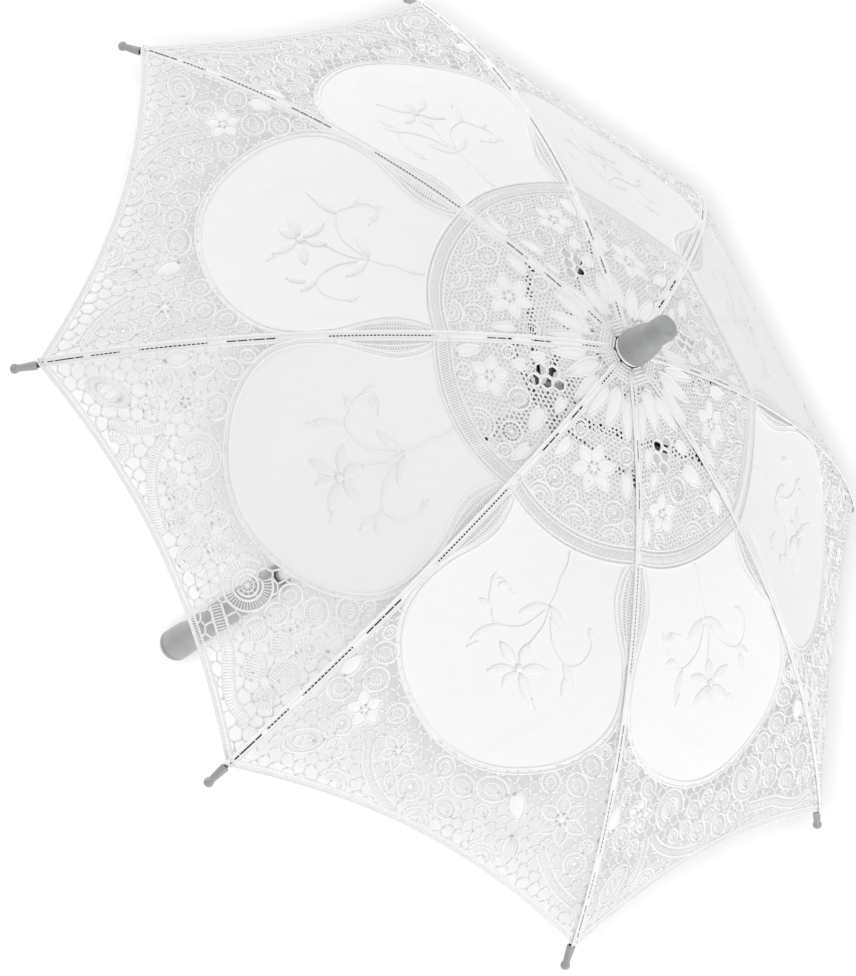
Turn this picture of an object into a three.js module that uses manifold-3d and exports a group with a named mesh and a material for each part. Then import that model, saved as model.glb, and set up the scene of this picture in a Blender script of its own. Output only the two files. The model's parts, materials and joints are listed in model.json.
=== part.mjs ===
// A small open lace parasol: eight curved ribs on a tubular shaft, a sliding runner with eight
// stretchers, a cloth canopy in eight panels, a stepped ferrule and a round plastic handle.
// Millimetres, +Z up along the shaft, origin at the centre of the handle's flat lower end.
import * as THREE from 'three';
import { mergeVertices } from 'three/addons/utils/BufferGeometryUtils.js';
import Module from 'manifold-3d';

const wasm = await Module();
wasm.setup();

// ---- driving dimensions ----
const RIB_COUNT = 8;
const CANOPY_RADIUS = 260;      // from the shaft's axis to a rib tip's end
const CANOPY_DROP = 112;        // from the rib hinges down to the tips
const RIB_RISE = 22;            // how far the rib bows above its own chord
const HINGE_Z = 396.7;          // height of the rib hinges
const HINGE_RADIUS = 6.2;
const RIB_THICKNESS = 2.2;
const TONGUE_THICKNESS = 1.2;   // the flat ends that sit in the slots
const TONGUE_LENGTH = 6.5;
const TONGUE_HEIGHT = 1.8;
const WIRE_THICKNESS = 0.9;     // the rings that the flat ends turn on
const GAP = 0.3;                // between neighbours that touch
const CLOTH_THICKNESS = 0.6;
const CLOTH_OFFSET = 1.9;       // middle of the cloth above the middle of the rib
const CLOTH_SAG = 3;            // how far a gore's middle dips below the straight line
const HEM_AT_RIB = 0.955;       // where the hem crosses a rib, as a share of the rib
const HEM_AT_MIDDLE = 0.905;    // the same, half way between two ribs
const JOINT_AT = 0.19;          // where the stretcher's joint sits, as a share of the rib
const JOINT_DROP = 4.4;         // the joint's pin below the middle of the rib
const SHAFT_DIAMETER = 7;
const SHAFT_WALL = 0.6;
const SHAFT_BOTTOM = 50;
const PIVOT_RADIUS = 7.2;       // the ring that the stretchers turn on, on the runner
const PIVOT_Z = HINGE_Z - 57;
const RUNNER_TOP = HINGE_Z - 27;
const RUNNER_BOTTOM = HINGE_Z - 92;
const TIP_RADIUS_SHUT = 12;     // how close the rib tips come to the axis when shut
const HANDLE_LENGTH = 110;
const HANDLE_DIAMETER = 16;
const KNOB_DIAMETER = 18.5;
const FERRULE_HEIGHT = 25.6;
const FERRULE_DIAMETER = 17.9;
const FERRULE_TOP_DIAMETER = 12.7;
const FERRULE_Z = HINGE_Z + 4;
const NOTCH_RADIUS = 8;
const CASTLE_RADIUS = 9;
const SLEEVE_RADIUS = 5.8;
const SLOT_WIDTH = 1.9;
const TIP_LENGTH = 12;
const TIP_DIAMETER = 4;
const RIB_INTO_TIP = 3;         // where the rib ends, short of the tip's end
const PIN_HOLE_RADIUS = 0.9;    // for the rivet, in the clip and in the stretcher's ears
const PIN_RADIUS = 0.6;
const HEAD_RADIUS = 1.1;
const HEAD_THICKNESS = 0.5;
const CLIP_HALF_LENGTH = 3;
const CLIP_WALL = 0.7;
const CHANNEL_WIDTH = 3;
const CHANNEL_WALL = 0.5;
const CHANNEL_HALF_DEPTH = 1.2;
const CHANNEL_START = 9;        // from the runner's ring to the stretcher's folded channel
const CROWN_HOLE = 4.8;         // the radius of the hole that the shaft goes through
const SEAM_GAP = 0.15;
const WASHER_RADIUS = 8.2;
const COLLAR_RADIUS = 5.4;      // the neck of the top notch and the stop ring's waist
const RUNNER_FOOT_RADIUS = 7;
const CATCH_LENGTH = 9;
const CATCH_THICKNESS = 1.6;
const STOP_PIN_RADIUS = 0.8;
const STOP_PIN_LENGTH = 10.4;

// ---- materials ----
const finish = (color, roughness, metalness) =>
  new THREE.MeshStandardMaterial({ color, roughness, metalness });
const greyPlastic = () => finish(0xb4b6b8, 0.42, 0);
const blackSteel = () => finish(0x1a1a1c, 0.38, 0.7);
const brightSteel = () => finish(0xc4c6c8, 0.25, 1);
const whiteCloth = () => finish(0xfafafa, 0.8, 0);

// ---- solids and booleans ----
function toSolid(geometry) {
  const bare = geometry.clone();
  bare.deleteAttribute('normal');
  bare.deleteAttribute('uv');
  const shared = mergeVertices(bare, 1e-4);
  const mesh = new wasm.Mesh({
    numProp: 3,
    vertProperties: new Float32Array(shared.attributes.position.array),
    triVerts: new Uint32Array(shared.index.array),
  });
  return new wasm.Manifold(mesh);
}

function toGeometry(solid) {
  const cut = solid.getMesh();
  const geometry = new THREE.BufferGeometry();
  geometry.setAttribute('position', new THREE.BufferAttribute(cut.vertProperties, 3));
  geometry.setIndex(new THREE.BufferAttribute(cut.triVerts, 1));
  return geometry;
}

const join = (first, ...others) =>
  others.reduce((whole, other) => whole.add(toSolid(other)), toSolid(first));
const cut = (solid, ...tools) =>
  tools.reduce((left, tool) => left.subtract(toSolid(tool)), solid);

const part = new THREE.Group();

function place(group, name, geometry, material) {
  const mesh = new THREE.Mesh(geometry, material);
  mesh.name = name;
  group.add(mesh);
  return mesh;
}

// A solid of revolution about +Z from [radius, z] points.
function turned(points, segments = 20) {
  const profile = points.map(([radius, z]) => new THREE.Vector2(radius, z));
  return new THREE.LatheGeometry(profile, segments).rotateX(Math.PI / 2);
}

// A rod along +Y, centred on x and z.
const crossRod = (radius, length, x, z, sides = 12) =>
  new THREE.CylinderGeometry(radius, radius, length, sides).translate(x, 0, z);

const box = (sizeX, sizeY, sizeZ, x, y, z) =>
  new THREE.BoxGeometry(sizeX, sizeY, sizeZ).translate(x, y, z);

// A wire ring round the shaft, on which flat eyes turn.
const wireRing = (radius, z) =>
  new THREE.TorusGeometry(radius, WIRE_THICKNESS / 2, 5, 24).translate(0, 0, z);

// ---- the rib's line: one circular arc in the XZ plane ----
const chord = new THREE.Vector2(CANOPY_RADIUS - HINGE_RADIUS, -CANOPY_DROP);
const arcRadius = chord.lengthSq() / (8 * RIB_RISE) + RIB_RISE / 2;
const halfAngle = Math.asin(chord.length() / 2 / arcRadius);
const chordAngle = Math.atan2(chord.y, chord.x);
const arcLength = 2 * halfAngle * arcRadius;

const slopeAt = (share) => chordAngle + halfAngle * (1 - 2 * share);

// The point at a share of the rib's length, raised by lift along the arc's normal.
function ribPoint(share, lift = 0) {
  const start = Math.PI / 2 + slopeAt(0);
  const here = Math.PI / 2 + slopeAt(share);
  const reach = arcRadius + lift;
  return new THREE.Vector2(
    HINGE_RADIUS - arcRadius * Math.cos(start) + reach * Math.cos(here),
    HINGE_Z - arcRadius * Math.sin(start) + reach * Math.sin(here),
  );
}

class RibLine extends THREE.Curve {
  constructor(from, to) {
    super();
    this.from = from;
    this.to = to;
  }
  getPoint(t, target = new THREE.Vector3()) {
    const point = ribPoint(this.from + (this.to - this.from) * t);
    return target.set(point.x, 0, point.y);
  }
}

function roundSection(radius, sides) {
  const corners = [];
  for (let side = 0; side < sides; side += 1) {
    const angle = (2 * Math.PI * (side + 0.5)) / sides;
    corners.push(new THREE.Vector2(radius * Math.cos(angle), radius * Math.sin(angle)));
  }
  return new THREE.Shape(corners);
}

// Turns a geometry drawn along +X from the origin onto the rib at a share of its length.
function ontoRib(geometry, share, drop = 0) {
  const point = ribPoint(share, -drop);
  return geometry.rotateY(-slopeAt(share)).translate(point.x, 0, point.y);
}

const shareOf = (length) => length / arcLength;

// ---- one rib and what is fixed on it ----
const RIB_END = 1 - shareOf(RIB_INTO_TIP);
const TIP_START = 1 - shareOf(TIP_LENGTH);

function ribGeometry() {
  const wire = new THREE.ExtrudeGeometry(roundSection(RIB_THICKNESS / 2, 6), {
    extrudePath: new RibLine(shareOf(TONGUE_LENGTH - 1), RIB_END),
    steps: 12,
  });
  const eyeRadius = 1.25;
  const tongue = ontoRib(
    box(TONGUE_LENGTH, TONGUE_THICKNESS, TONGUE_HEIGHT, TONGUE_LENGTH / 2, 0, 0), 0);
  const eye = crossRod(eyeRadius, TONGUE_THICKNESS, HINGE_RADIUS, HINGE_Z);
  const bore = crossRod(WIRE_THICKNESS / 2 + GAP, 2 * TONGUE_THICKNESS, HINGE_RADIUS, HINGE_Z);
  return toGeometry(cut(join(wire, tongue, eye), bore));
}

// The moulded tip: a tapered sleeve over the rib's end with a small ball.
function ribTipGeometry() {
  const sleeve = TIP_DIAMETER / 2;
  const bore = RIB_THICKNESS / 2 + GAP;
  const boreDepth = TIP_LENGTH - RIB_INTO_TIP + GAP;
  const profile = [
    [0, boreDepth], [bore, boreDepth], [bore, 0], [sleeve - 0.3, 0], [sleeve, 0.4],
    [sleeve * 0.8, TIP_LENGTH - 4.2], [sleeve * 1.05, TIP_LENGTH - 3.3],
    [sleeve * 1.15, TIP_LENGTH - 2.1], [sleeve * 0.95, TIP_LENGTH - 0.8],
    [sleeve * 0.5, TIP_LENGTH - 0.1], [0, TIP_LENGTH],
  ];
  const tip = turned(profile, 8).rotateY(Math.PI / 2);
  return ontoRib(tip, TIP_START);
}

// A rod along +X, from -halfLength to halfLength.
const rodAlong = (radius, halfLength) => turned([[0, -halfLength], [radius, -halfLength],
  [radius, halfLength], [0, halfLength]], 12).rotateY(Math.PI / 2);

// The clip that grips the rib from below, with a tab for the stretcher's pin.
function ribJointGeometry() {
  const inside = RIB_THICKNESS / 2 + GAP;
  const clip = rodAlong(inside + CLIP_WALL, CLIP_HALF_LENGTH);
  const bore = rodAlong(inside, CLIP_HALF_LENGTH + 2);
  const tab = box(2.6, TONGUE_THICKNESS, JOINT_DROP - 1.8, 0, 0, -JOINT_DROP / 2 - 0.9);
  const round = crossRod(1.45, TONGUE_THICKNESS, 0, -JOINT_DROP);
  const pinHole = crossRod(PIN_HOLE_RADIUS, 3, 0, -JOINT_DROP);
  const mouth = box(8, 6, 3, 0, 0, RIB_THICKNESS / 2 + 1.5);
  const whole = cut(join(clip, tab, round), bore, pinHole, mouth);
  return ontoRib(toGeometry(whole), JOINT_AT);
}

// The pin through the tab and the stretcher's two ears, with a flat head at each end.
function rivetGeometry() {
  const head = CHANNEL_WIDTH / 2 + GAP;
  const end = head + HEAD_THICKNESS;
  const profile = [
    [0, -end], [HEAD_RADIUS, -end], [HEAD_RADIUS, -head], [PIN_RADIUS, -head],
    [PIN_RADIUS, head], [HEAD_RADIUS, head], [HEAD_RADIUS, end], [0, end],
  ];
  return ontoRib(turned(profile, 8).rotateX(Math.PI / 2), JOINT_AT, JOINT_DROP);
}

// ---- one stretcher: a folded steel channel from the runner to the rib's joint ----
const jointPoint = ribPoint(JOINT_AT, -JOINT_DROP);
const pivotPoint = new THREE.Vector2(PIVOT_RADIUS, PIVOT_Z);
const stretcherSpan = jointPoint.clone().sub(pivotPoint);

// How far the runner slides down while the ribs fold against the shaft.
function runnerTravel() {
  const hinge = new THREE.Vector2(HINGE_RADIUS, HINGE_Z);
  const shut = Math.asin((TIP_RADIUS_SHUT - HINGE_RADIUS) / chord.length()) - Math.PI / 2;
  const joint = jointPoint.clone().rotateAround(hinge, shut - chordAngle);
  const below = Math.sqrt(stretcherSpan.lengthSq() - (joint.x - PIVOT_RADIUS) ** 2);
  return PIVOT_Z - (joint.y - below);
}

function stretcherGeometry() {
  const length = stretcherSpan.length();
  const half = CHANNEL_WIDTH / 2;
  const inside = half - CHANNEL_WALL;
  const depth = CHANNEL_HALF_DEPTH;
  const floor = CHANNEL_WALL - depth;
  const tongueStart = WIRE_THICKNESS / 2 + GAP;
  const plugLength = 3;
  const plugHeight = 2;
  const section = new THREE.Shape([
    [-half, -depth], [half, -depth], [half, depth], [inside, depth],
    [inside, floor], [-inside, floor], [-inside, depth], [-half, depth],
  ].map(([y, z]) => new THREE.Vector2(-z, y)));
  const channel = new THREE.ExtrudeGeometry(section, {
    depth: length + half - CHANNEL_START, bevelEnabled: false,
  }).rotateY(Math.PI / 2).translate(CHANNEL_START, 0, 0);
  const tongueLength = CHANNEL_START + plugLength - tongueStart;
  const tongue = box(tongueLength, TONGUE_THICKNESS, plugHeight,
    tongueStart + tongueLength / 2, 0, 0);
  const plug = box(plugLength, CHANNEL_WIDTH - CHANNEL_WALL, plugHeight,
    CHANNEL_START + plugLength / 2, 0, 0);
  const webCut = box(5, 2 * inside, 4, length + GAP, 0, -depth);
  const pinHole = crossRod(PIN_HOLE_RADIUS, 2 * CHANNEL_WIDTH, length, 0);
  const whole = cut(join(channel, tongue, plug), webCut, pinHole);
  const slope = Math.atan2(stretcherSpan.y, stretcherSpan.x);
  return toGeometry(whole).rotateY(-slope).translate(pivotPoint.x, 0, pivotPoint.y);
}

// ---- one canopy panel, from the middle of one gore to the middle of the next ----
// The cloth's middle surface: straight from rib to rib, with a slight dip between them.
// along runs from the crown's hole to the hem, across from -0.5 to 0.5 of a gore.
function clothPoint(along, across, lift) {
  const gore = (2 * Math.PI) / RIB_COUNT;
  const side = Math.abs(across);
  const ease = 4 * side * (1 - side);
  const hem = HEM_AT_RIB + (HEM_AT_MIDDLE - HEM_AT_RIB) * ease;
  const share = along * hem;
  const line = ribPoint(Math.max(share, 0.006), CLOTH_OFFSET + lift);
  const radius = along === 0 ? CROWN_HOLE : line.x;
  const sag = CLOTH_SAG * ease * Math.sin(Math.PI * Math.min(1, share));
  const x = radius * (1 - side + side * Math.cos(gore));
  const y = radius * Math.sin(gore) * side - (side > 0.49 ? SEAM_GAP : 0);
  return new THREE.Vector3(x, Math.sign(across) * y, line.y - sag);
}

function canopyPanelGeometry() {
  const panel = new THREE.BoxGeometry(1, 1, 1, 10, 4, 1);
  const spots = panel.attributes.position;
  for (let index = 0; index < spots.count; index += 1) {
    const along = spots.getX(index) + 0.5;
    const across = spots.getY(index);
    const lift = spots.getZ(index) * CLOTH_THICKNESS;
    const point = clothPoint(along, across, lift);
    spots.setXYZ(index, point.x, point.y, point.z);
  }
  return panel;
}

function addRib(number) {
  const group = new THREE.Group();
  group.rotation.z = (2 * Math.PI * (number - 1)) / RIB_COUNT;
  part.add(group);
  place(group, `rib_${number}`, ribGeometry(), blackSteel());
  place(group, `rib_tip_${number}`, ribTipGeometry(), greyPlastic());
  place(group, `rib_joint_${number}`, ribJointGeometry(), blackSteel());
  place(group, `rivet_${number}`, rivetGeometry(), brightSteel());
  place(group, `stretcher_${number}`, stretcherGeometry(), blackSteel());
  place(group, `canopy_panel_${number}`, canopyPanelGeometry(), whiteCloth());
}

// ---- the slots that hold the flat ends, one for each rib ----
function slots(inner, outer, bottom, top) {
  const tools = [];
  for (let number = 0; number < RIB_COUNT; number += 1) {
    const slot = box(outer - inner, SLOT_WIDTH, top - bottom,
      (inner + outer) / 2, 0, (bottom + top) / 2);
    tools.push(slot.rotateZ((2 * Math.PI * number) / RIB_COUNT));
  }
  return tools;
}

// The groove that the wire ring lies in, open to the outside.
const groove = (radius, outer, bottom, top) => turned([
  [radius - WIRE_THICKNESS, bottom], [outer + 1, bottom], [outer + 1, top],
  [radius - WIRE_THICKNESS, top], [radius - WIRE_THICKNESS, bottom],
]);

const SHAFT_BORE = SHAFT_DIAMETER / 2 + GAP;

// ---- the crown: top notch, its wire, the washer and the ferrule ----
function addCrown() {
  const top = HINGE_Z + 0.6;
  const bottom = HINGE_Z - 4.5;
  const body = turned([[SHAFT_BORE, bottom - 6], [COLLAR_RADIUS, bottom - 6], [6, bottom - 1],
    [NOTCH_RADIUS, bottom], [NOTCH_RADIUS, top - 0.5], [NOTCH_RADIUS - 0.5, top],
    [SHAFT_BORE, top], [SHAFT_BORE, bottom - 6]]);
  const notch = cut(toSolid(body),
    groove(HINGE_RADIUS, NOTCH_RADIUS, HINGE_Z - WIRE_THICKNESS / 2 - GAP, top + 1),
    ...slots(4.7, NOTCH_RADIUS + 1, bottom - 0.5, top + 1));
  place(part, 'top_notch', toGeometry(notch), greyPlastic());
  place(part, 'top_notch_wire', wireRing(HINGE_RADIUS, HINGE_Z), brightSteel());
  const washerBottom = HINGE_Z + CLOTH_OFFSET + CLOTH_THICKNESS / 2 + GAP;
  const washerTop = FERRULE_Z - GAP;
  place(part, 'canopy_washer', turned([[SHAFT_BORE, washerBottom],
    [WASHER_RADIUS, washerBottom], [WASHER_RADIUS, washerTop], [SHAFT_BORE, washerTop],
    [SHAFT_BORE, washerBottom]]), whiteCloth());
  place(part, 'ferrule', ferruleGeometry(), greyPlastic());
}

// Ridged foot, sloping shoulder, then a narrower round end with a flat top.
function ferruleGeometry() {
  const foot = FERRULE_DIAMETER / 2;
  const end = FERRULE_TOP_DIAMETER / 2;
  const boreDepth = 12;
  const profile = [[0, boreDepth], [SHAFT_BORE, boreDepth], [SHAFT_BORE, 0], [foot - 0.5, 0]];
  const ridges = 4;
  const pitch = 1.5;
  for (let ridge = 0; ridge < ridges; ridge += 1) {
    const z = 0.2 + ridge * pitch;
    profile.push([foot, z + 0.2], [foot, z + pitch - 0.6], [foot - 0.45, z + pitch - 0.3]);
  }
  profile.push([foot - 0.3, 6.6], [foot - 1, 12], [foot - 1.5, 14.2], [foot - 2.3, 15.3],
    [end - 0.15, 15.8], [end, 17], [end, FERRULE_HEIGHT - 1], [end - 0.3, FERRULE_HEIGHT - 0.3],
    [end - 1, FERRULE_HEIGHT], [0, FERRULE_HEIGHT]);
  return turned(profile.map(([radius, z]) => [radius, z + FERRULE_Z]), 18);
}

// ---- the shaft with its catch and stops ----
const CATCH_TOP = RUNNER_BOTTOM - GAP;
const STOP_PIN_Z = RUNNER_TOP + 1.3;

function addShaft() {
  const outer = SHAFT_DIAMETER / 2;
  const inner = outer - SHAFT_WALL;
  const top = FERRULE_Z + 11.5;
  const tube = turned([[inner, SHAFT_BOTTOM], [outer, SHAFT_BOTTOM], [outer, top],
    [inner, top], [inner, SHAFT_BOTTOM]], 24);
  const window = box(4, 2.4, CATCH_LENGTH + 3, outer, 0, CATCH_TOP - CATCH_LENGTH / 2);
  const pinBore = crossRod(STOP_PIN_RADIUS + GAP, 12, 0, STOP_PIN_Z);
  place(part, 'shaft', toGeometry(cut(toSolid(tube), window, pinBore)), brightSteel());
  place(part, 'upper_stop_pin',
    crossRod(STOP_PIN_RADIUS, STOP_PIN_LENGTH, 0, STOP_PIN_Z, 10), brightSteel());
  const ringTop = RUNNER_BOTTOM - runnerTravel() - GAP;
  place(part, 'lower_stop_ring', turned([[SHAFT_BORE, ringTop - 3], [5.2, ringTop - 3],
    [COLLAR_RADIUS, ringTop - 1.5], [5.2, ringTop], [SHAFT_BORE, ringTop],
    [SHAFT_BORE, ringTop - 3]]), brightSteel());
}

// The wedge that springs out of the shaft's window and holds the runner up.
function addCatch() {
  const outline = new THREE.Shape([
    [0.3, -CATCH_LENGTH], [2.7, -CATCH_LENGTH], [5.5, -1.6], [5.5, 0], [0.3, 0],
  ].map(([x, z]) => new THREE.Vector2(x, z)));
  const wedge = new THREE.ExtrudeGeometry(outline,
    { depth: CATCH_THICKNESS, bevelEnabled: false });
  wedge.translate(0, 0, -CATCH_THICKNESS / 2).rotateX(Math.PI / 2).translate(0, 0, CATCH_TOP);
  place(part, 'top_catch', wedge, brightSteel());
}

// ---- the runner: a long sleeve with a slotted castle ----
function addRunner() {
  const castleTop = PIVOT_Z + 5;
  const castleBottom = PIVOT_Z - 5;
  const body = turned([[SHAFT_BORE, RUNNER_BOTTOM], [RUNNER_FOOT_RADIUS, RUNNER_BOTTOM],
    [RUNNER_FOOT_RADIUS, RUNNER_BOTTOM + 2.5], [SLEEVE_RADIUS, RUNNER_BOTTOM + 4],
    [SLEEVE_RADIUS, castleBottom - 2], [CASTLE_RADIUS, castleBottom],
    [CASTLE_RADIUS, castleTop], [CASTLE_RADIUS - 1, castleTop + 0.8],
    [SLEEVE_RADIUS, castleTop + 1.2], [SLEEVE_RADIUS, RUNNER_TOP - 1],
    [SLEEVE_RADIUS - 0.6, RUNNER_TOP], [SHAFT_BORE, RUNNER_TOP], [SHAFT_BORE, RUNNER_BOTTOM]]);
  // when shut, the catch springs out into this window near the sleeve's top
  const catchWindow = box(6, 2.6, CATCH_LENGTH + 1.5, SLEEVE_RADIUS, 0,
    CATCH_TOP - CATCH_LENGTH / 2 + runnerTravel());
  const runner = cut(toSolid(body), catchWindow,
    groove(PIVOT_RADIUS, CASTLE_RADIUS, PIVOT_Z - 0.8, PIVOT_Z + 0.8),
    ...slots(COLLAR_RADIUS, CASTLE_RADIUS + 3, castleBottom - 3, castleTop + 3));
  place(part, 'runner', toGeometry(runner), greyPlastic());
  place(part, 'runner_wire', wireRing(PIVOT_RADIUS, PIVOT_Z), brightSteel());
}

// ---- the handle and its end cap ----
function addHandle() {
  const grip = HANDLE_DIAMETER / 2;
  const knob = KNOB_DIAMETER / 2;
  const capRecess = 5;
  const profile = [
    [0, SHAFT_BOTTOM - 2], [SHAFT_BORE, SHAFT_BOTTOM - 2], [SHAFT_BORE, HANDLE_LENGTH],
    [grip - 1.6, HANDLE_LENGTH], [grip - 0.5, HANDLE_LENGTH - 1.5],
    [grip - 0.2, HANDLE_LENGTH - 8], [grip - 0.9, HANDLE_LENGTH - 9],
    [grip - 0.9, HANDLE_LENGTH - 10.5], [grip - 0.2, HANDLE_LENGTH - 11.5], [grip, 60],
    [grip - 0.2, 24], [grip, 21], [knob - 0.2, 16], [knob, 12], [knob, 4 + GAP],
    [capRecess, 4 + GAP], [capRecess, 12], [0, 12],
  ];
  place(part, 'handle_grip', turned(profile.reverse(), 18), greyPlastic());
  const cap = [[0, 0], [knob - 2.2, 0], [knob - 0.8, 0.6], [knob - 0.15, 1.8], [knob, 4],
    [capRecess - GAP, 4], [capRecess - GAP, 11.5], [0, 11.5]];
  place(part, 'handle_end_cap', turned(cap, 18), greyPlastic());
}

for (let number = 1; number <= RIB_COUNT; number += 1) {
  addRib(number);
}
addCrown();
addShaft();
addCatch();
addRunner();
addHandle();

export default part;
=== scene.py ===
"""A small white lace parasol: satin and lace canopy, steel ribs and grey plastic fittings."""
import json
import math

import bmesh
import bpy
import numpy as np
from mathutils import Matrix, Vector


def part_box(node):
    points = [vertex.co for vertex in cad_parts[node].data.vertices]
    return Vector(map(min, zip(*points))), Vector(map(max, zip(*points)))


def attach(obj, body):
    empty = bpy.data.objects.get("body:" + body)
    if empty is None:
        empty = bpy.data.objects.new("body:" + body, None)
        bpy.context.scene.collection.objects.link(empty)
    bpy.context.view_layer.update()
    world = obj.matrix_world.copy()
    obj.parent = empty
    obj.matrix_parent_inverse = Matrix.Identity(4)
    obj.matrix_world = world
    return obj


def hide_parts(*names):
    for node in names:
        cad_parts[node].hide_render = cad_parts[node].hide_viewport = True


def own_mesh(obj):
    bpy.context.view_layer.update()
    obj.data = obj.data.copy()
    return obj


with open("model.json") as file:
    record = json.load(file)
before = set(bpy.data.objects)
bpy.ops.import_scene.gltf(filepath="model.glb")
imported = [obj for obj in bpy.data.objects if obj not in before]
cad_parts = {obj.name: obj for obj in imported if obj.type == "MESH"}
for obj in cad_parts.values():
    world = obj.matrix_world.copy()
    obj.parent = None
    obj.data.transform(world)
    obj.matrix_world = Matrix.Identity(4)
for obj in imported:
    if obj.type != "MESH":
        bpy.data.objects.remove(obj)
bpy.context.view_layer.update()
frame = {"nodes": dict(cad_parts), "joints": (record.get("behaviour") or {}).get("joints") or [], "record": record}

# ---------------------------------------------------------------- dimensions
# Canopy dimensions are in millimetres and become metres in cloth() and turned().
MM = 0.001
RIBS = 8
GORE_ANGLE = 2 * math.pi / RIBS
joints = {joint["name"]: joint for joint in frame["joints"]}
HINGE_RADIUS = joints["rib_hinge_1"]["pos_m"][0] / MM
HINGE_Z = joints["rib_hinge_1"]["pos_m"][2] / MM
CANOPY_RADIUS = 260.0
CANOPY_DROP = 112.0
RIB_RISE = 22.0
CLOTH_OFFSET = 1.9         # middle of the cloth above the middle of the rib
CLOTH_SAG = 3.0
HEM_AT_RIB = 0.955
HEM_AT_MIDDLE = 0.905
RING_INNER = 91.0          # the ladder ring round the crown, from the shaft's axis
RING_OUTER = 99.0
CROWN_HOLE = 3.0           # the lace starts this far out from the hinges
CROWN_GATHER = 12.0        # and is gathered close as far as this
OUTLINE = 0.56             # radius of the cord round each motif
BAR = 0.58                 # radius of a bar of the net
CROWN_BAR = 0.62           # the same in the close net of the crown
RUNG = 0.3                 # radius of a filling thread
RUNG_PITCH = 1.3
OUTER_CELL = 6.2           # width of a net cell, outside the panels
CROWN_CELL = 2.5           # the same in the crown
NET_COLUMN, NET_ROW = 0.87, 0.5      # steps between a net's knots, in cells
NET_LEAN = 0.167           # how far every other knot leans, which makes the cells six-sided
TAPE_WIDTH = 2.5           # the corded tape round each satin panel
HEM_WIDTH = 3.0
HEM_INSET = 1.7            # from the cloth's edge to the middle of the hem
HEM_PITCH = 1.1
HEM_CORD_INSET = 0.8       # the cord on the very edge
NET_TO_HEM = 3.2           # where the net ends, in from the cloth's edge
EYES_FROM, EYES_TO = 0.352, 0.505    # the hemstitched slits, as shares of the rib
FACE_LIFT, BACK_LIFT = 0.16, -0.12   # the satin's two faces above its middle
STEM = 0.34                # radius of an embroidered stem
STITCH_LIFT = 0.25         # how far the embroidery stands off the satin

chord = np.array([CANOPY_RADIUS - HINGE_RADIUS, -CANOPY_DROP])
CHORD = float(np.hypot(*chord))
ARC_RADIUS = CHORD ** 2 / (8 * RIB_RISE) + RIB_RISE / 2
HALF_ARC = math.asin(CHORD / 2 / ARC_RADIUS)
CHORD_SLOPE = math.atan2(chord[1], chord[0])
ARC_LENGTH = 2 * HALF_ARC * ARC_RADIUS
HALF_GORE = math.sin(GORE_ANGLE / 2)


# ---------------------------------------------------------------- the cloth's surface
def rib_line(along, lift=0.0):
    """Radius and height of the rib's line, along it in millimetres, raised by lift."""
    first = math.pi / 2 + CHORD_SLOPE + HALF_ARC
    here = first - 2 * HALF_ARC * np.asarray(along, float) / ARC_LENGTH
    reach = ARC_RADIUS + lift
    radius = HINGE_RADIUS - ARC_RADIUS * math.cos(first) + reach * np.cos(here)
    height = HINGE_Z - ARC_RADIUS * math.sin(first) + reach * np.sin(here)
    return radius, height


def half_width(along):
    """Half the gore's width, along the rib in millimetres."""
    return rib_line(along, CLOTH_OFFSET)[0] * HALF_GORE


def cloth(places, lift=0.0):
    """Points in metres for flat places (along, across) on the first gore."""
    places = np.asarray(places, float)
    along, across = places[..., 0], places[..., 1]
    share = across / half_width(along)
    radius, height = rib_line(along, CLOTH_OFFSET + lift)
    ease = np.clip(1 - share ** 2, -1, 1)
    height = height - CLOTH_SAG * ease * np.sin(np.pi * np.clip(along / ARC_LENGTH, 0, 1))
    out = radius * math.cos(GORE_ANGLE / 2)
    side = radius * HALF_GORE * share
    middle = GORE_ANGLE / 2
    x = out * math.cos(middle) - side * math.sin(middle)
    y = out * math.sin(middle) + side * math.cos(middle)
    return np.stack([x, y, height], -1) * MM


def cloth_normal(places, lift=0.0):
    """Unit vectors that stand up out of the cloth."""
    places = np.asarray(places, float)
    step = 0.5
    forward = cloth(places + [step, 0], lift) - cloth(places - [step, 0], lift)
    sideways = cloth(places + [0, step], lift) - cloth(places - [0, step], lift)
    return unit(np.cross(forward, sideways))


def unit(vectors):
    """The vectors at length one."""
    return vectors / np.maximum(np.linalg.norm(vectors, axis=-1, keepdims=True), 1e-12)


along_samples = np.linspace(0, ARC_LENGTH, 600)
radius_samples = rib_line(along_samples, CLOTH_OFFSET)[0]


def ring_along(ring_radius, across):
    """Where a circle round the shaft crosses the gore, as a distance along it."""
    out = np.sqrt(np.maximum(ring_radius ** 2 - np.asarray(across, float) ** 2, 0))
    return np.interp(out / math.cos(GORE_ANGLE / 2), radius_samples, along_samples)


def hem_along(share):
    """The hem's distance along the gore, for a share of the half width."""
    ease = 1 - np.asarray(share, float) ** 2
    return ARC_LENGTH * (HEM_AT_RIB + (HEM_AT_MIDDLE - HEM_AT_RIB) * ease)


# ---------------------------------------------------------------- flat curves
def smooth(points, step=1.6, closed=False):
    """A Catmull-Rom curve through points, with even steps."""
    points = np.asarray(points, float)
    if closed:
        guide = np.concatenate([points[-1:], points, points[:2]])
    else:
        guide = np.concatenate([2 * points[:1] - points[1:2], points,
                                2 * points[-1:] - points[-2:-1]])
    t = np.linspace(0, 1, 24, endpoint=False)[:, None]
    runs = []
    for a, b, c, d in zip(guide, guide[1:], guide[2:], guide[3:]):
        runs.append(0.5 * (2 * b + (c - a) * t + (2 * a - 5 * b + 4 * c - d) * t ** 2
                           + (3 * b - a - 3 * c + d) * t ** 3))
    if not closed:
        runs.append(points[-1:])
    return evenly(np.concatenate(runs), step, closed)


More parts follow.
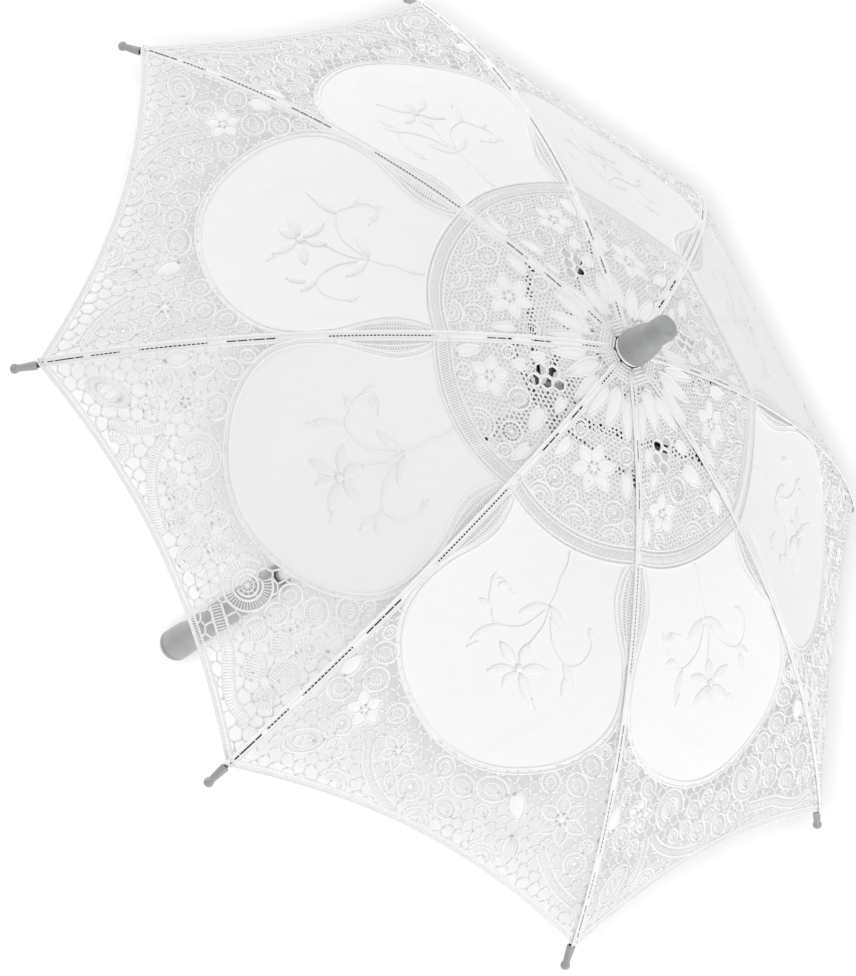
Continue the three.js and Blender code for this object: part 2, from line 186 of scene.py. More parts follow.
def evenly(path, step, closed=False):
    """The same path with points about step apart."""
    if closed:
        path = np.concatenate([path, path[:1]])
    gaps = np.linalg.norm(np.diff(path, axis=0), axis=1)
    length = np.concatenate([[0], np.cumsum(gaps)])
    count = max(2, round(length[-1] / step) + 1)
    stops = np.linspace(0, length[-1], count)
    even = np.stack([np.interp(stops, length, path[:, axis]) for axis in (0, 1)], 1)
    return even[:-1] if closed else even


def beside(path, distance, closed=False):
    """The path moved sideways by distance."""
    if closed:
        ahead, behind = np.roll(path, -1, 0), np.roll(path, 1, 0)
    else:
        ahead = np.concatenate([path[1:], path[-1:]])
        behind = np.concatenate([path[:1], path[:-1]])
    way = unit(ahead - behind)
    return path + distance * np.stack([-way[:, 1], way[:, 0]], 1)


def strip(path, width):
    """The outline of a strip along the path."""
    return np.concatenate([beside(path, width / 2), beside(path, -width / 2)[::-1]])


def turn(points, angle):
    """Points turned about the origin by an angle in degrees."""
    c, s = math.cos(math.radians(angle)), math.sin(math.radians(angle))
    return np.asarray(points, float) @ np.array([[c, s], [-s, c]])


def inside(outline, points):
    """Whether each point lies in the closed outline."""
    points = np.asarray(points, float)
    hits = np.zeros(len(points), bool)
    for start, end in zip(outline, np.roll(outline, -1, 0)):
        spans = (start[1] > points[:, 1]) != (end[1] > points[:, 1])
        rise = end[1] - start[1]
        slope = (end[0] - start[0]) / (rise if rise else 1e-9)
        hits ^= spans & (points[:, 0] < start[0] + (points[:, 1] - start[1]) * slope)
    return hits


def clear_of(outlines, points):
    """Whether each point lies outside all the outlines."""
    free = np.ones(len(points), bool)
    for outline in outlines:
        free &= ~inside(outline, points)
    return free


def crossings(outline, origin, way):
    """Distances from origin along way at which a line meets the outline."""
    start, end = outline, np.roll(outline, -1, 0)
    edge = end - start
    denominator = way[0] * edge[:, 1] - way[1] * edge[:, 0]
    denominator = np.where(abs(denominator) < 1e-9, 1e-9, denominator)
    gap = start - origin
    reach = (gap[:, 0] * edge[:, 1] - gap[:, 1] * edge[:, 0]) / denominator
    place = (gap[:, 0] * way[1] - gap[:, 1] * way[0]) / denominator
    return np.sort(reach[(place >= 0) & (place < 1)])


def hatch(outline, angle, pitch):
    """Straight threads across the outline, pitch apart."""
    way = turn([[1, 0]], angle)[0]
    across = np.array([-way[1], way[0]])
    reach = outline @ across
    threads = []
    for offset in np.arange(reach.min() + pitch / 2, reach.max(), pitch):
        stops = crossings(outline, across * offset, way)
        for low, high in zip(stops[::2], stops[1::2]):
            if high - low > 0.4:
                threads.append([across * offset + way * low, across * offset + way * high])
    return np.array(threads).reshape(-1, 2, 2)


def rays(outline, centre, count, inner):
    """Threads from a small ring round centre out to the outline."""
    threads = []
    for number in range(count):
        angle = 2 * math.pi * number / count
        way = np.array([math.cos(angle), math.sin(angle)])
        stops = crossings(outline, centre, way)
        stops = stops[stops > inner]
        if len(stops):
            threads.append([centre + way * inner, centre + way * stops[0]])
    return np.array(threads).reshape(-1, 2, 2)


# ---------------------------------------------------------------- meshes on the cloth
class Sewing:
    """Collects threads, tapes and patches of one gore, and the outlines that they fill."""

    def __init__(self):
        self.points, self.faces, self.grain = [], [], []
        self.count = 0
        self.filled = []

    def keep(self, points, faces, grain):
        """Adds a piece of mesh; grain is each point's place along and across its thread."""
        points = np.asarray(points, float).reshape(-1, 3)
        self.points.append(points)
        self.grain.append(np.asarray(grain, float).reshape(-1, 2))
        self.faces.extend((np.asarray(face) + self.count).tolist() for face in faces)
        self.count += len(points)

    def sweep(self, paths, half_across, half_up=None, sides=4, lift=0.0, closed=False):
        """Tubes with an oval section along paths, shaped (tubes, points, 2)."""
        paths = np.asarray(paths, float)
        if paths.ndim == 2:
            paths = paths[None]
        if not paths.size:
            return
        tubes, stops = paths.shape[:2]
        middle = cloth(paths, lift)
        up = cloth_normal(paths, lift)
        if closed:
            way = np.roll(middle, -1, 1) - np.roll(middle, 1, 1)
        else:
            way = np.gradient(middle, axis=1)
        way = unit(way)
        side = unit(np.cross(up, way))
        up = np.cross(way, side)
        angles = 2 * math.pi * (np.arange(sides) + 0.5) / sides
        half_up = half_across if half_up is None else half_up
        ring = (side[:, :, None] * np.cos(angles)[:, None] * half_across * MM
                + up[:, :, None] * np.sin(angles)[:, None] * half_up * MM)
        points = middle[:, :, None] + ring
        runs = np.linalg.norm(np.diff(middle, axis=1), axis=2)
        length = np.concatenate([np.zeros((tubes, 1)), np.cumsum(runs, 1)], 1)
        grain = np.stack(np.broadcast_arrays(
            length[:, :, None], (np.cos(angles) * half_across * MM)[None, None]), -1)
        index = np.arange(tubes * stops * sides).reshape(tubes, stops, sides)
        here = index if closed else index[:, :-1]
        ahead = np.roll(index, -1, 1) if closed else index[:, 1:]
        quads = np.stack([here, np.roll(here, -1, 2), np.roll(ahead, -1, 2), ahead], -1)
        faces = list(quads.reshape(-1, 4))
        if not closed:
            faces += list(index[:, 0, ::-1]) + list(index[:, -1])
        self.keep(points, faces, grain)

    def cord(self, path, radius=0.5, closed=False, lift=0.25):
        """A round cord that stands on the cloth."""
        self.sweep(path, radius, sides=6, lift=lift, closed=closed)

    def threads(self, segments, radius=RUNG, lift=0.1):
        """Straight threads, shaped (threads, 2, 2)."""
        self.sweep(segments, radius, sides=4, lift=lift)

    def tape(self, path, width=2.6, closed=False, lift=0.1):
        """A woven tape with a cord along each edge."""
        self.sweep(path, width / 2, 0.16, sides=6, lift=lift, closed=closed)
        for side in (-1, 1):
            self.cord(beside(path, side * width / 2, closed), 0.5, closed, lift + 0.15)

    def ladder(self, path, width, pitch=1.1, closed=False, rung=RUNG, rail=OUTLINE):
        """Two cords with cross threads between them."""
        for side in (-1, 1):
            self.cord(beside(path, side * width / 2, closed), rail, closed)
        even = evenly(path, pitch, closed)
        left, right = beside(even, width / 2, closed), beside(even, -width / 2, closed)
        self.threads(np.stack([left, right], 1), rung)

    def patch(self, outline, swell=0.35, lift=0.1, rings=4):
        """A dense, slightly domed patch with a closed back."""
        outline = np.asarray(outline, float)
        centre = outline.mean(0)
        size = len(outline)
        scales = np.linspace(1, 0, rings, endpoint=False)
        flat = [centre + (outline - centre) * scale for scale in scales] + [centre[None]]
        lifts = [lift + swell * math.sqrt(max(0, 1 - scale ** 2)) for scale in scales]
        lifts.append(lift + swell)
        top = [cloth(line, height) for line, height in zip(flat, lifts)]
        back = cloth(flat[0], lift - 0.15)
        points = np.concatenate(top + [back, cloth(centre[None], lift - 0.15)])
        places = np.concatenate(flat + [flat[0], centre[None]]) * MM
        faces = []
        tip = rings * size
        under = tip + 1
        for step in range(size):
            follow = (step + 1) % size
            for ring in range(rings - 1):
                low, high = ring * size, (ring + 1) * size
                faces.append([low + step, low + follow, high + follow, high + step])
            last = (rings - 1) * size
            faces.append([last + step, last + follow, tip])
            faces.append([under + follow, under + step, under + size])
            faces.append([follow, step, under + step, under + follow])
        self.keep(points, faces, places)

    def mesh(self, name):
        """Everything sewn so far as one mesh."""
        data = bpy.data.meshes.new(name)
        data.from_pydata(np.concatenate(self.points).tolist(), [], self.faces)
        grain = np.concatenate(self.grain)
        layer = data.uv_layers.new(name="grain")
        corners = np.zeros(len(data.loops), np.int32)
        data.loops.foreach_get("vertex_index", corners)
        layer.data.foreach_set("uv", grain[corners].astype(np.float32).ravel())
        data.polygons.foreach_set("use_smooth", np.ones(len(data.polygons), bool))
        data.update()
        return data


# ---------------------------------------------------------------- lace motifs
def petal_outline(base, angle, length, width, blunt=0.75, count=26):
    """A petal from its base point, out along angle."""
    t = np.linspace(0, 1, count // 2 + 1)
    wide = width / 2 * np.sin(math.pi * t ** blunt) ** 0.8
    upper = np.stack([t * length, wide], 1)
    lower = np.stack([t[::-1] * length, -wide[::-1]], 1)[1:-1]
    return turn(np.concatenate([upper, lower]), angle) + base


def round_outline(centre, radius, stretch=1.0, angle=0.0, count=26):
    """A circle, or an oval stretched along its angle."""
    t = np.arange(count) * 2 * math.pi / count
    ring = np.stack([np.cos(t) * radius * stretch, np.sin(t) * radius], 1)
    return turn(ring, angle) + centre


def add_petal(sewing, base, angle, length, width, filling="rungs"):
    """An outlined petal, filled with rungs, veins, close stitches or a dense heart."""
    outline = petal_outline(base, angle, length, width)
    sewing.cord(outline, OUTLINE, closed=True)
    sewing.filled.append(outline)
    if filling == "solid":
        sewing.patch(outline, 0.5)
    elif filling == "rungs":
        sewing.threads(hatch(outline, angle + 90, RUNG_PITCH))
        spine = np.array([base, base + turn([[length, 0]], angle)[0]])
        sewing.sweep(evenly(spine, 2), 0.3, lift=0.2)
    elif filling == "heart":
        sewing.patch(0.55 * (outline - outline.mean(0)) + outline.mean(0), 0.4)
        sewing.threads(hatch(outline, angle + 90, RUNG_PITCH * 1.2))
    else:
        sewing.threads(hatch(outline, angle, RUNG_PITCH))


def add_flower(sewing, centre, reach, petals, first=0.0, filling="rungs", plump=0.62):
    """Petals round a small dense eye."""
    centre = np.asarray(centre, float)
    eye = reach * 0.18
    for number in range(petals):
        angle = first + 360 * number / petals
        base = centre + turn([[eye * 0.9, 0]], angle)[0]
        add_petal(sewing, base, angle, reach - eye, (reach - eye) * plump * 6 / petals, filling)
    button = round_outline(centre, eye, count=16)
    sewing.patch(button, 0.6)
    sewing.cord(button, OUTLINE * 0.8, closed=True)
    sewing.filled.append(button)


def add_wheel(sewing, centre, radius, spokes=14):
    """A round cell with spokes and an inner ring, like a small web."""
    centre = np.asarray(centre, float)
    outline = round_outline(centre, radius)
    sewing.cord(outline, OUTLINE, closed=True)
    sewing.filled.append(outline)
    sewing.threads(rays(outline, centre, spokes, radius * 0.2))
    sewing.cord(round_outline(centre, radius * 0.6, count=18), RUNG * 1.1, closed=True)
    sewing.patch(round_outline(centre, radius * 0.24, count=10), 0.4)


def add_star(sewing, centre, radius, spokes=6, first=15.0):
    """A many-sided opening crossed by stout spokes."""
    centre = np.asarray(centre, float)
    outline = evenly(turn(round_outline((0, 0), radius, count=spokes), first) + centre, 1.5,
                     closed=True)
    sewing.cord(outline, BAR, closed=True)
    sewing.filled.append(outline)
    for number in range(spokes):
        tip = centre + turn([[radius, 0]], first + 360 * number / spokes)[0]
        sewing.sweep(evenly(np.array([centre, tip]), 2), BAR, lift=0.1)


def add_eyelet(sewing, centre, radius):
    """A plain six-sided hole."""
    outline = evenly(round_outline(centre, radius, count=6), 1.5, closed=True)
    sewing.cord(outline, BAR, closed=True)
    sewing.filled.append(outline)


def add_cell(sewing, centre, radius, stretch=1.15, angle=0.0, pitch=None):
    """A rounded cell crossed by close threads, with an inner ring."""
    outline = round_outline(centre, radius, stretch, angle)
    sewing.cord(outline, OUTLINE, closed=True)
    sewing.filled.append(outline)
    sewing.threads(hatch(outline, angle + 90, pitch or RUNG_PITCH))
    sewing.cord(round_outline(centre, radius * 0.5, stretch, angle, 16), RUNG * 1.2, closed=True)


def add_hoop(sewing, centre, radius, stretch, angle, share=0.48):
    """A long ring of ladder work with a star-crossed middle."""
    outer = round_outline(centre, radius, stretch, angle, 44)
    inner = (outer - centre) * [share, share] + centre
    sewing.cord(evenly(outer, 1.3, True), OUTLINE, closed=True)
    sewing.cord(evenly(inner, 1.3, True), OUTLINE * 0.85, closed=True)
    sewing.threads(np.stack([inner, outer], 1))
    sewing.threads(hatch(inner, angle + 60, 3.4), BAR * 0.8)
    sewing.filled.append(outer)


def add_band(sewing, guide, width=4.4):
    """A curling ladder tape through the guide points."""
    path = smooth(guide)
    sewing.ladder(path, width, RUNG_PITCH)
    sewing.filled.append(strip(path, width))


def add_arc(sewing, centre, radius, width, start, end):
    """A ladder tape along part of a circle, round a small wheel."""
    t = np.radians(np.linspace(start, end, 40))
    path = np.asarray(centre, float) + radius * np.stack([np.cos(t), np.sin(t)], 1)
    sewing.ladder(evenly(path, 1.4), width, RUNG_PITCH)
    add_wheel(sewing, centre, (radius - width / 2) * 0.72, 10)
    sewing.filled.append(strip(path, width))


def add_shell(sewing, centre, angle, radius, spread=170, ribs=13):
    """A fan of threads between two arcs."""
    centre = np.asarray(centre, float)
    t = np.radians(np.linspace(-spread / 2, spread / 2, 24) + angle)
    edge = np.stack([np.cos(t), np.sin(t)], 1)
    outer, inner = centre + edge * radius, centre + edge * radius * 0.42
    sewing.cord(outer, OUTLINE)
    sewing.cord(inner, OUTLINE * 0.8)
    for end in (0, -1):
        sewing.cord(evenly(np.stack([inner[end], outer[end]]), 1.5), OUTLINE * 0.8)
    fan = np.linspace(0, len(t) - 1, ribs).round().astype(int)
    sewing.threads(np.stack([inner[fan], outer[fan]], 1))
    sewing.cord(centre + edge * radius * 0.72, RUNG * 1.2)
    sewing.filled.append(np.concatenate([outer, inner[::-1]]))


def add_net(sewing, allowed, low, high, cell, bar, seed):
    """Knotted bars in uneven six-sided cells wherever allowed() says so."""
    chance = np.random.default_rng(seed)
    columns = int((high[0] - low[0]) / cell / NET_COLUMN) + 2
    rows = int((high[1] - low[1]) / cell / NET_ROW) + 2
    i, j = np.meshgrid(np.arange(columns), np.arange(rows), indexing="ij")
    lean = np.where((i + j) % 2, -NET_LEAN, NET_LEAN)
    along, across = (i + lean) * NET_COLUMN * cell, j * NET_ROW * cell
    knots = np.stack([low[0] + along, low[1] + across], -1)
    knots += chance.uniform(-0.12, 0.12, knots.shape) * cell
    lines = np.concatenate([
        np.stack([knots[:-1], knots[1:]], 2)[(i + j)[:-1] % 2 == 0].reshape(-1, 2, 2),
        np.stack([knots[:, :-1], knots[:, 1:]], 2).reshape(-1, 2, 2),
    ])
    ends = allowed(lines.reshape(-1, 2)).reshape(-1, 2)
    whole = lines[ends.all(1)]
    partly = ends.any(1) & ~ends.all(1)
    broken = lines[partly]
    flip = ~ends[partly][:, 0]
    broken[flip] = broken[flip][:, ::-1]
    near, far = broken[:, 0].copy(), broken[:, 1].copy()
    for _ in range(7):
        middle = (near + far) / 2
        good = allowed(middle)[:, None]
        near, far = np.where(good, middle, near), np.where(good, far, middle)
    cut = np.stack([broken[:, 0], far], 1)
    cut = cut[np.linalg.norm(cut[:, 1] - cut[:, 0], axis=1) > 0.6]
    bars = np.concatenate([whole, cut])
    middles = bars.mean(1) + chance.uniform(-0.25, 0.25, (len(bars), 2))
    sewing.sweep(np.stack([bars[:, 0], middles, bars[:, 1]], 1), bar, bar * 0.8, lift=0.05)


# ---------------------------------------------------------------- the gore's outlines
# Half the satin panel's width as a share of half the gore's, at shares of the rib.
PANEL_SHAPE = [(0.34, 0.885), (0.37, 0.81), (0.41, 0.785), (0.45, 0.85), (0.49, 0.935),
               (0.53, 0.965), (0.57, 0.955), (0.61, 0.90), (0.65, 0.79), (0.69, 0.635),
               (0.72, 0.475), (0.745, 0.295), (0.758, 0.15), (0.763, 0.0)]


def panel_side():
    """The satin panel's edge on the positive side, from the ring to its outer end."""
    guide = []
    for share, wide in PANEL_SHAPE:
        along = share * ARC_LENGTH
        across = wide * half_width(along)
        if share == PANEL_SHAPE[0][0]:
            along = float(ring_along(RING_OUTER, across))
        guide.append((along, across))
    mirrored = [(along, -across) for along, across in guide[-2:-4:-1]]
    path = smooth(guide + mirrored, 1.2)
    return path[path[:, 1] > -0.6]


PANEL_SIDE = panel_side()
MIRROR = np.array([1.0, -1.0])
PANEL_EDGE = evenly(np.concatenate([PANEL_SIDE, (PANEL_SIDE * MIRROR)[::-1]]), 1.4)


def hem_path(inset):
    """The hem's line, inset millimetres in from the cloth's edge."""
    share = np.linspace(-1, 1, 120)
    along = hem_along(share)
    return np.stack([along - inset, share * half_width(along)], 1)


def within_gore(points, margin):
    """Whether each point is on the gore, margin or more from the ribs."""
    return abs(points[:, 1]) < half_width(points[:, 0]) - margin


# ---------------------------------------------------------------- one gore of lace
def both(kind, along, across, *rest):
    """A motif and its mirror image across the gore's middle."""
    mirrored = (-rest[0], *rest[1:]) if kind == "petal" else rest
    return (kind, along, across, *rest), (kind, along, -across, *mirrored)


# A cluster of plain holes, as (along, across).
EYELETS = [(42.3, -2.9), (42.3, 3.5), (48.0, 0.3), (48.0, -6.2), (53.7, -2.9)]
EYELET_RADIUS = 3.5
# Each motif is (kind, along, across, ...) in millimetres and degrees. Gores take turns
# between the two lists.
CROWN_MOTIFS = (
    [("petal", 14, 0, 0, 27, 7, "solid"), *both("petal", 18, 4.4, 20, 24, 5, "solid"),
     ("flower", 61, 0, 13, 6, 0, "solid"), *both("cell", 47, 13.5, 3.8),
     *both("wheel", 76, 17.5, 5.6), ("shell", 90, 0, 180, 8.5),
     *both("petal", 54, 16, 22, 15, 5.5, "solid"), *both("shell", 89, 21, 180, 7.5),
     *both("cell", 79, 26.2, 3.0), *both("star", 79, 6.6, 4)],
    [("petal", 13, 0, 0, 24, 8, "solid"), *both("petal", 18.5, 4.6, 21, 22, 5, "solid"),
     *[("eyelet", *place, EYELET_RADIUS) for place in EYELETS],
     ("flower", 75, -12, 10.5, 5, 20, "solid"), ("petal", 54, -10, -28, 9, 5, "solid"),
     ("petal", 56, 10, 32, 16, 7, "solid"), ("cell", 66, 2.5, 5.4), ("shell", 91, 6, 180, 7.5),
     ("wheel", 78, 15, 5.2), ("petal", 72, 24.5, 9, 14, 5.6, "solid"), ("cell", 86, 21.5, 3.4),
     ("petal", 87, -27.5, 170, 14, 5, "solid"), ("star", 86.8, -18.5, 4.0),
     ("cell", 61, -19.2, 3.0), ("petal", 43, 9.8, 30, 10, 4.6, "solid"),
     ("petal", 42, -9.5, -30, 10, 4.6, "solid")],
)
OUTER_MOTIFS = (
    [("hoop", 246, -71.5, 6.0, 1.9, 127), ("wheel", 222.5, -67, 6.4),
     ("petal", 217, -74.5, 160, 13, 7.5, "solid"), ("petal", 207, -64.5, 165, 10, 6.5, "rungs"),
     ("star", 231, -58, 4.4), ("flower", 216, -53.5, 9.6, 5, 10, "heart"),
     ("cell", 204, -46.5, 5.6, 1.1, 40), ("shell", 254.8, -48, 176, 8),
     ("band", [(251, -60), (245, -53), (236.5, -49), (229, -48)], 4.0),
     ("band", [(231.5, -43), (239, -37), (245, -28), (248.5, -18), (250.5, -7)], 4.6),
     ("arc", 221, -30, 8.2, 4.4, 60, 330), ("cell", 236.4, -27, 3.2, 1.2, 30),
     ("cell", 236.5, -17.5, 4.2), ("cell", 227.5, -11.5, 4.4, 1.25, 60), ("wheel", 241, -7.5, 5.2),
     ("cell", 234.5, 1, 4.2, 1.3, 90), ("star", 224.5, -1, 4.2), ("cell", 244, 8.5, 5.4, 1.2, 20),
     ("wheel", 230, 10.5, 5.6), ("star", 241, 21.5, 6.4), ("arc", 226, 30, 9.2, 4.6, -150, 170),
     ("band", [(243, 32), (245, 43), (247, 53), (252, 63), (255, 73), (253, 83)], 5.4),
     ("cell", 220, 46.5, 4.8), ("cell", 210.5, 42, 5.0, 1.1, 20), ("cell", 203.5, 53, 5.4, 1.2, 60),
     ("star", 214, 55, 3.8), ("cell", 231.5, 49, 5.2, 1.15, 0), ("cell", 224, 59.5, 5.0, 1.1, 60),
     ("wheel", 214, 66, 5.8), ("petal", 207.5, 70.2, 192, 12, 5.8, "solid"),
     ("cell", 238.5, 63, 5.2, 1.3, 50), ("cell", 229, 72.5, 6.6, 1.1, 20), ("wheel", 241.5, 77, 4.8),
     ("cell", 190.5, 58.5, 5.2, 1.2, 55), ("cell", 190.5, -58.8, 4.5, 1.2, -55),
     ("cell", 181.5, 61, 2.8, 1.3, 30), ("cell", 181.5, -61, 2.8, 1.3, -30)],
    [("cell", 222.6, -6.5, 4.9, 1.05, 0), ("wheel", 238.5, -16.5, 6.4), ("cell", 232.5, -5.5, 3.8),
     ("cell", 226.5, 5.5, 5.2, 1.15, 90), ("cell", 239.5, 3.5, 4.8, 1.2, 70),
     ("shell", 252, -6, 180, 7.5), ("cell", 221.5, 19.5, 6.0, 1.35, 100),
     ("petal", 217.5, 31, 36, 14, 7.5, "solid"), ("flower", 219, 57.5, 13, 6, 25, "rungs"),
     ("petal", 236, 40.5, 14, 15, 8, "veins"), ("cell", 201, 56, 5.0, 1.2, 60),
     ("cell", 205.5, 43.5, 4.6, 1.15, 30),
     ("band", [(236, 55), (243, 63), (249, 73), (252, 84)], 4.8),
     ("band", [(252, -19), (247, -31), (239, -40), (229, -45)], 4.6),
     ("hoop", 243, -72, 5.6, 1.75, 125), ("cell", 215, -69.5, 5.2, 1.2, 120),
     ("petal", 209, -71.5, 160, 13, 6.5, "solid"), ("cell", 203, -56.5, 5.4, 1.2, -50),
     ("flower", 217.5, -54, 9, 5, 0, "solid"), ("wheel", 228, -60.5, 5.4),
     ("star", 239, -57, 5.2), ("flower", 226.5, -30, 9.8, 6, 10, "rungs"),
     ("star", 243, 21, 5.8), ("shell", 252.6, 31, 178, 7.5), ("cell", 232.6, 20.5, 3.3, 1.1, 60),
     ("cell", 211.5, -39.5, 4.4, 1.2, -40), ("cell", 240.2, -26.5, 3.0, 1.2, 30),
     ("wheel", 235, 74, 5.6), ("star", 225, 75, 3.6), ("shell", 254.8, -50, 172, 7.5),
     ("cell", 190, 58, 5.2, 1.2, 55), ("cell", 190.5, -58.5, 5.0, 1.25, -55),
     ("cell", 181.5, 61, 2.8, 1.3, 30), ("cell", 181.5, -61, 2.8, 1.3, -30)],
)


def add_motif(sewing, kind, *words):
    """Sews one motif of a list."""
    if kind == "band":
        add_band(sewing, *words)
        return
    centre, rest = np.array(words[:2], float), words[2:]
    makers = {"petal": add_petal, "flower": add_flower, "cell": add_cell, "wheel": add_wheel,
              "star": add_star, "eyelet": add_eyelet, "hoop": add_hoop, "arc": add_arc,
              "shell": add_shell}
    makers[kind](sewing, centre, *rest)


def crown_lace(sewing, gore):
    """The lace circle between the ferrule and the ladder ring."""
    for motif in CROWN_MOTIFS[gore % 2]:
        add_motif(sewing, *motif)
    outlines = list(sewing.filled)

    def allowed(points):
        free = within_gore(points, SEAM_REACH) & (points[:, 0] > CROWN_GATHER)
        free &= points[:, 0] < ring_along(RING_INNER - 0.5, points[:, 1])
        return free & clear_of(outlines, points)

    add_net(sewing, allowed, (CROWN_GATHER, -40), (100, 40), CROWN_CELL, CROWN_BAR, gore)
    crown_gathers(sewing)


def crown_gathers(sewing):
    """The close threads where the lace is gathered under the ferrule."""
    for along in np.arange(CROWN_HOLE, CROWN_GATHER + 0.5, 1.9):
        reach = half_width(along) - 0.8
        across = np.linspace(-reach, reach, 8)
        sewing.sweep(np.stack([along + 0 * across, across], 1), BAR, lift=0.15)
    fan = np.linspace(-0.9, 0.9, 7)
    near, far = (np.stack([along + 0 * fan, fan * half_width(along)], 1)
                 for along in (CROWN_HOLE, CROWN_GATHER))
    sewing.threads(np.stack([near, far], 1), BAR)


def crown_ring(sewing):
    """The ladder band that closes the crown."""
    def circle(radius):
        angle = np.linspace(-GORE_ANGLE / 2, GORE_ANGLE / 2, 60)
        across = radius * np.sin(angle)
        return np.stack([ring_along(radius, across), across], 1)

    for radius, size in ((RING_INNER, 0.5), (RING_INNER + 1.8, 0.3),
                         (RING_OUTER - 1.8, 0.4), (RING_OUTER, 0.6)):
        sewing.cord(evenly(circle(radius), 1.6), size)
    rungs = evenly(circle((RING_INNER + RING_OUTER) / 2), 1.2)
    reach = (RING_OUTER - RING_INNER) / 2
    sewing.threads(np.stack([rungs - [reach, 0], rungs + [reach, 0]], 1), 0.3)


def rib_eyes(sewing):
    """Hemstitched slits beside the ribs, from the ring to where the panels touch."""
    low, high = EYES_FROM * ARC_LENGTH, EYES_TO * ARC_LENGTH
    reach = np.argmax(PANEL_SIDE[:, 0])
    stops = np.arange(low, high, RUNG_PITCH)
    edge = np.interp(stops, PANEL_SIDE[:reach, 0], PANEL_SIDE[:reach, 1])
    rib = half_width(stops) - SEAM_REACH
    open_here = rib - edge > 0.8
    stops, edge, rib = stops[open_here], edge[open_here], rib[open_here]
    for side in (-1, 1):
        inner = np.stack([stops, side * edge], 1)
        outer = np.stack([stops, side * rib], 1)
        sewing.threads(np.stack([inner, outer], 1))
        for share in (0.3, 0.62):
            sewing.cord(inner + (outer - inner) * share, 0.34)


def outer_lace(sewing, gore):
    """Open lace between the satin panel and the hem."""
    start = len(sewing.filled)
    for motif in OUTER_MOTIFS[(gore + 1) % 2]:
        add_motif(sewing, *motif)
    fresh = sewing.filled[start:]

    def allowed(points):
        share = points[:, 1] / half_width(points[:, 0])
        free = within_gore(points, SEAM_REACH) & (points[:, 0] > 160)
        free &= points[:, 0] < hem_along(np.clip(share, -1, 1)) - NET_TO_HEM
        return free & clear_of([PANEL_EDGE, *fresh], points)

    add_net(sewing, allowed, (160, -98), (272, 98), OUTER_CELL, BAR, gore + RIBS)


def panel_tapes(sewing):
    """The corded tape round the satin panel, and the hem."""
    sewing.tape(PANEL_EDGE, TAPE_WIDTH)
    hem = evenly(hem_path(HEM_INSET), 1.6)
    sewing.ladder(hem, HEM_WIDTH, HEM_PITCH, rung=0.28, rail=0.5)
    sewing.sweep(evenly(hem_path(HEM_CORD_INSET), 1.8), 0.7, 0.16, 6, 0.1)


# How the rib shows through its seam: (from, to, spacing of the bars across the slit) in
# shares of the rib. A spacing of 0 is bound over, so that the rib is hidden.
SEAM_STRETCHES = [(0.02, 0.07, 2.0), (0.07, 0.13, 0), (0.13, 0.165, 6.0), (0.165, 0.20, 0),
                  (0.20, 0.245, 5.0), (0.245, 0.335, 0), (0.335, 0.505, 1.7), (0.505, 0.59, 0),
                  (0.59, 0.622, 8.5), (0.622, 0.637, 1.9), (0.637, 0.665, 7.0),
                  (0.665, 0.695, 0), (0.695, 0.80, 2.0), (0.80, 0.83, 0), (0.83, 0.875, 1.9),
                  (0.875, 0.885, 0), (0.885, 0.915, 7.5), (0.915, 0.945, 8.5)]
SEAM_REACH = 2.1
SLIT = 0.68
# The seam's sides hang down beside the rib, except where its joint clip is.
SEAM_WALLS = [(6, 49), (58.5, 269)]
WALL_REACH = 1.5
WALL_DEPTH = 3.2


def rib_seam(sewing):
    """Two narrow tapes beside the rib, joined across it by bars or a close binding."""
    def on_rib(along, offset):
        return np.stack([along, -half_width(along) - offset + 0 * along], -1)

    line = np.arange(4.0, hem_along(1.0), 2.5)
    for side in (-1, 1):
        sewing.sweep(on_rib(line, side * (SEAM_REACH + SLIT) / 2), (SEAM_REACH - SLIT) / 2,
                     0.16, 6, 0.1)
        sewing.cord(on_rib(line, side * SEAM_REACH), 0.4, lift=0.2)
        sewing.cord(on_rib(line, side * SLIT), 0.28, lift=0.2)
        for low, high in SEAM_WALLS:
            sewing.sweep(on_rib(np.arange(low, high, 2.5), side * WALL_REACH), 0.13,
                         WALL_DEPTH / 2, 4, 0.2 - WALL_DEPTH / 2)
    for low, high, spacing in SEAM_STRETCHES:
        low, high = low * ARC_LENGTH, high * ARC_LENGTH
        if spacing:
            stops = np.arange(low + spacing / 2, high, spacing)
            sewing.threads(np.stack([on_rib(stops, -SLIT), on_rib(stops, SLIT)], 1), 0.36, 0.15)
        else:
            sewing.sweep(on_rib(np.linspace(low, high, 8), 0), 1.0, 0.32, 8, 0.15)


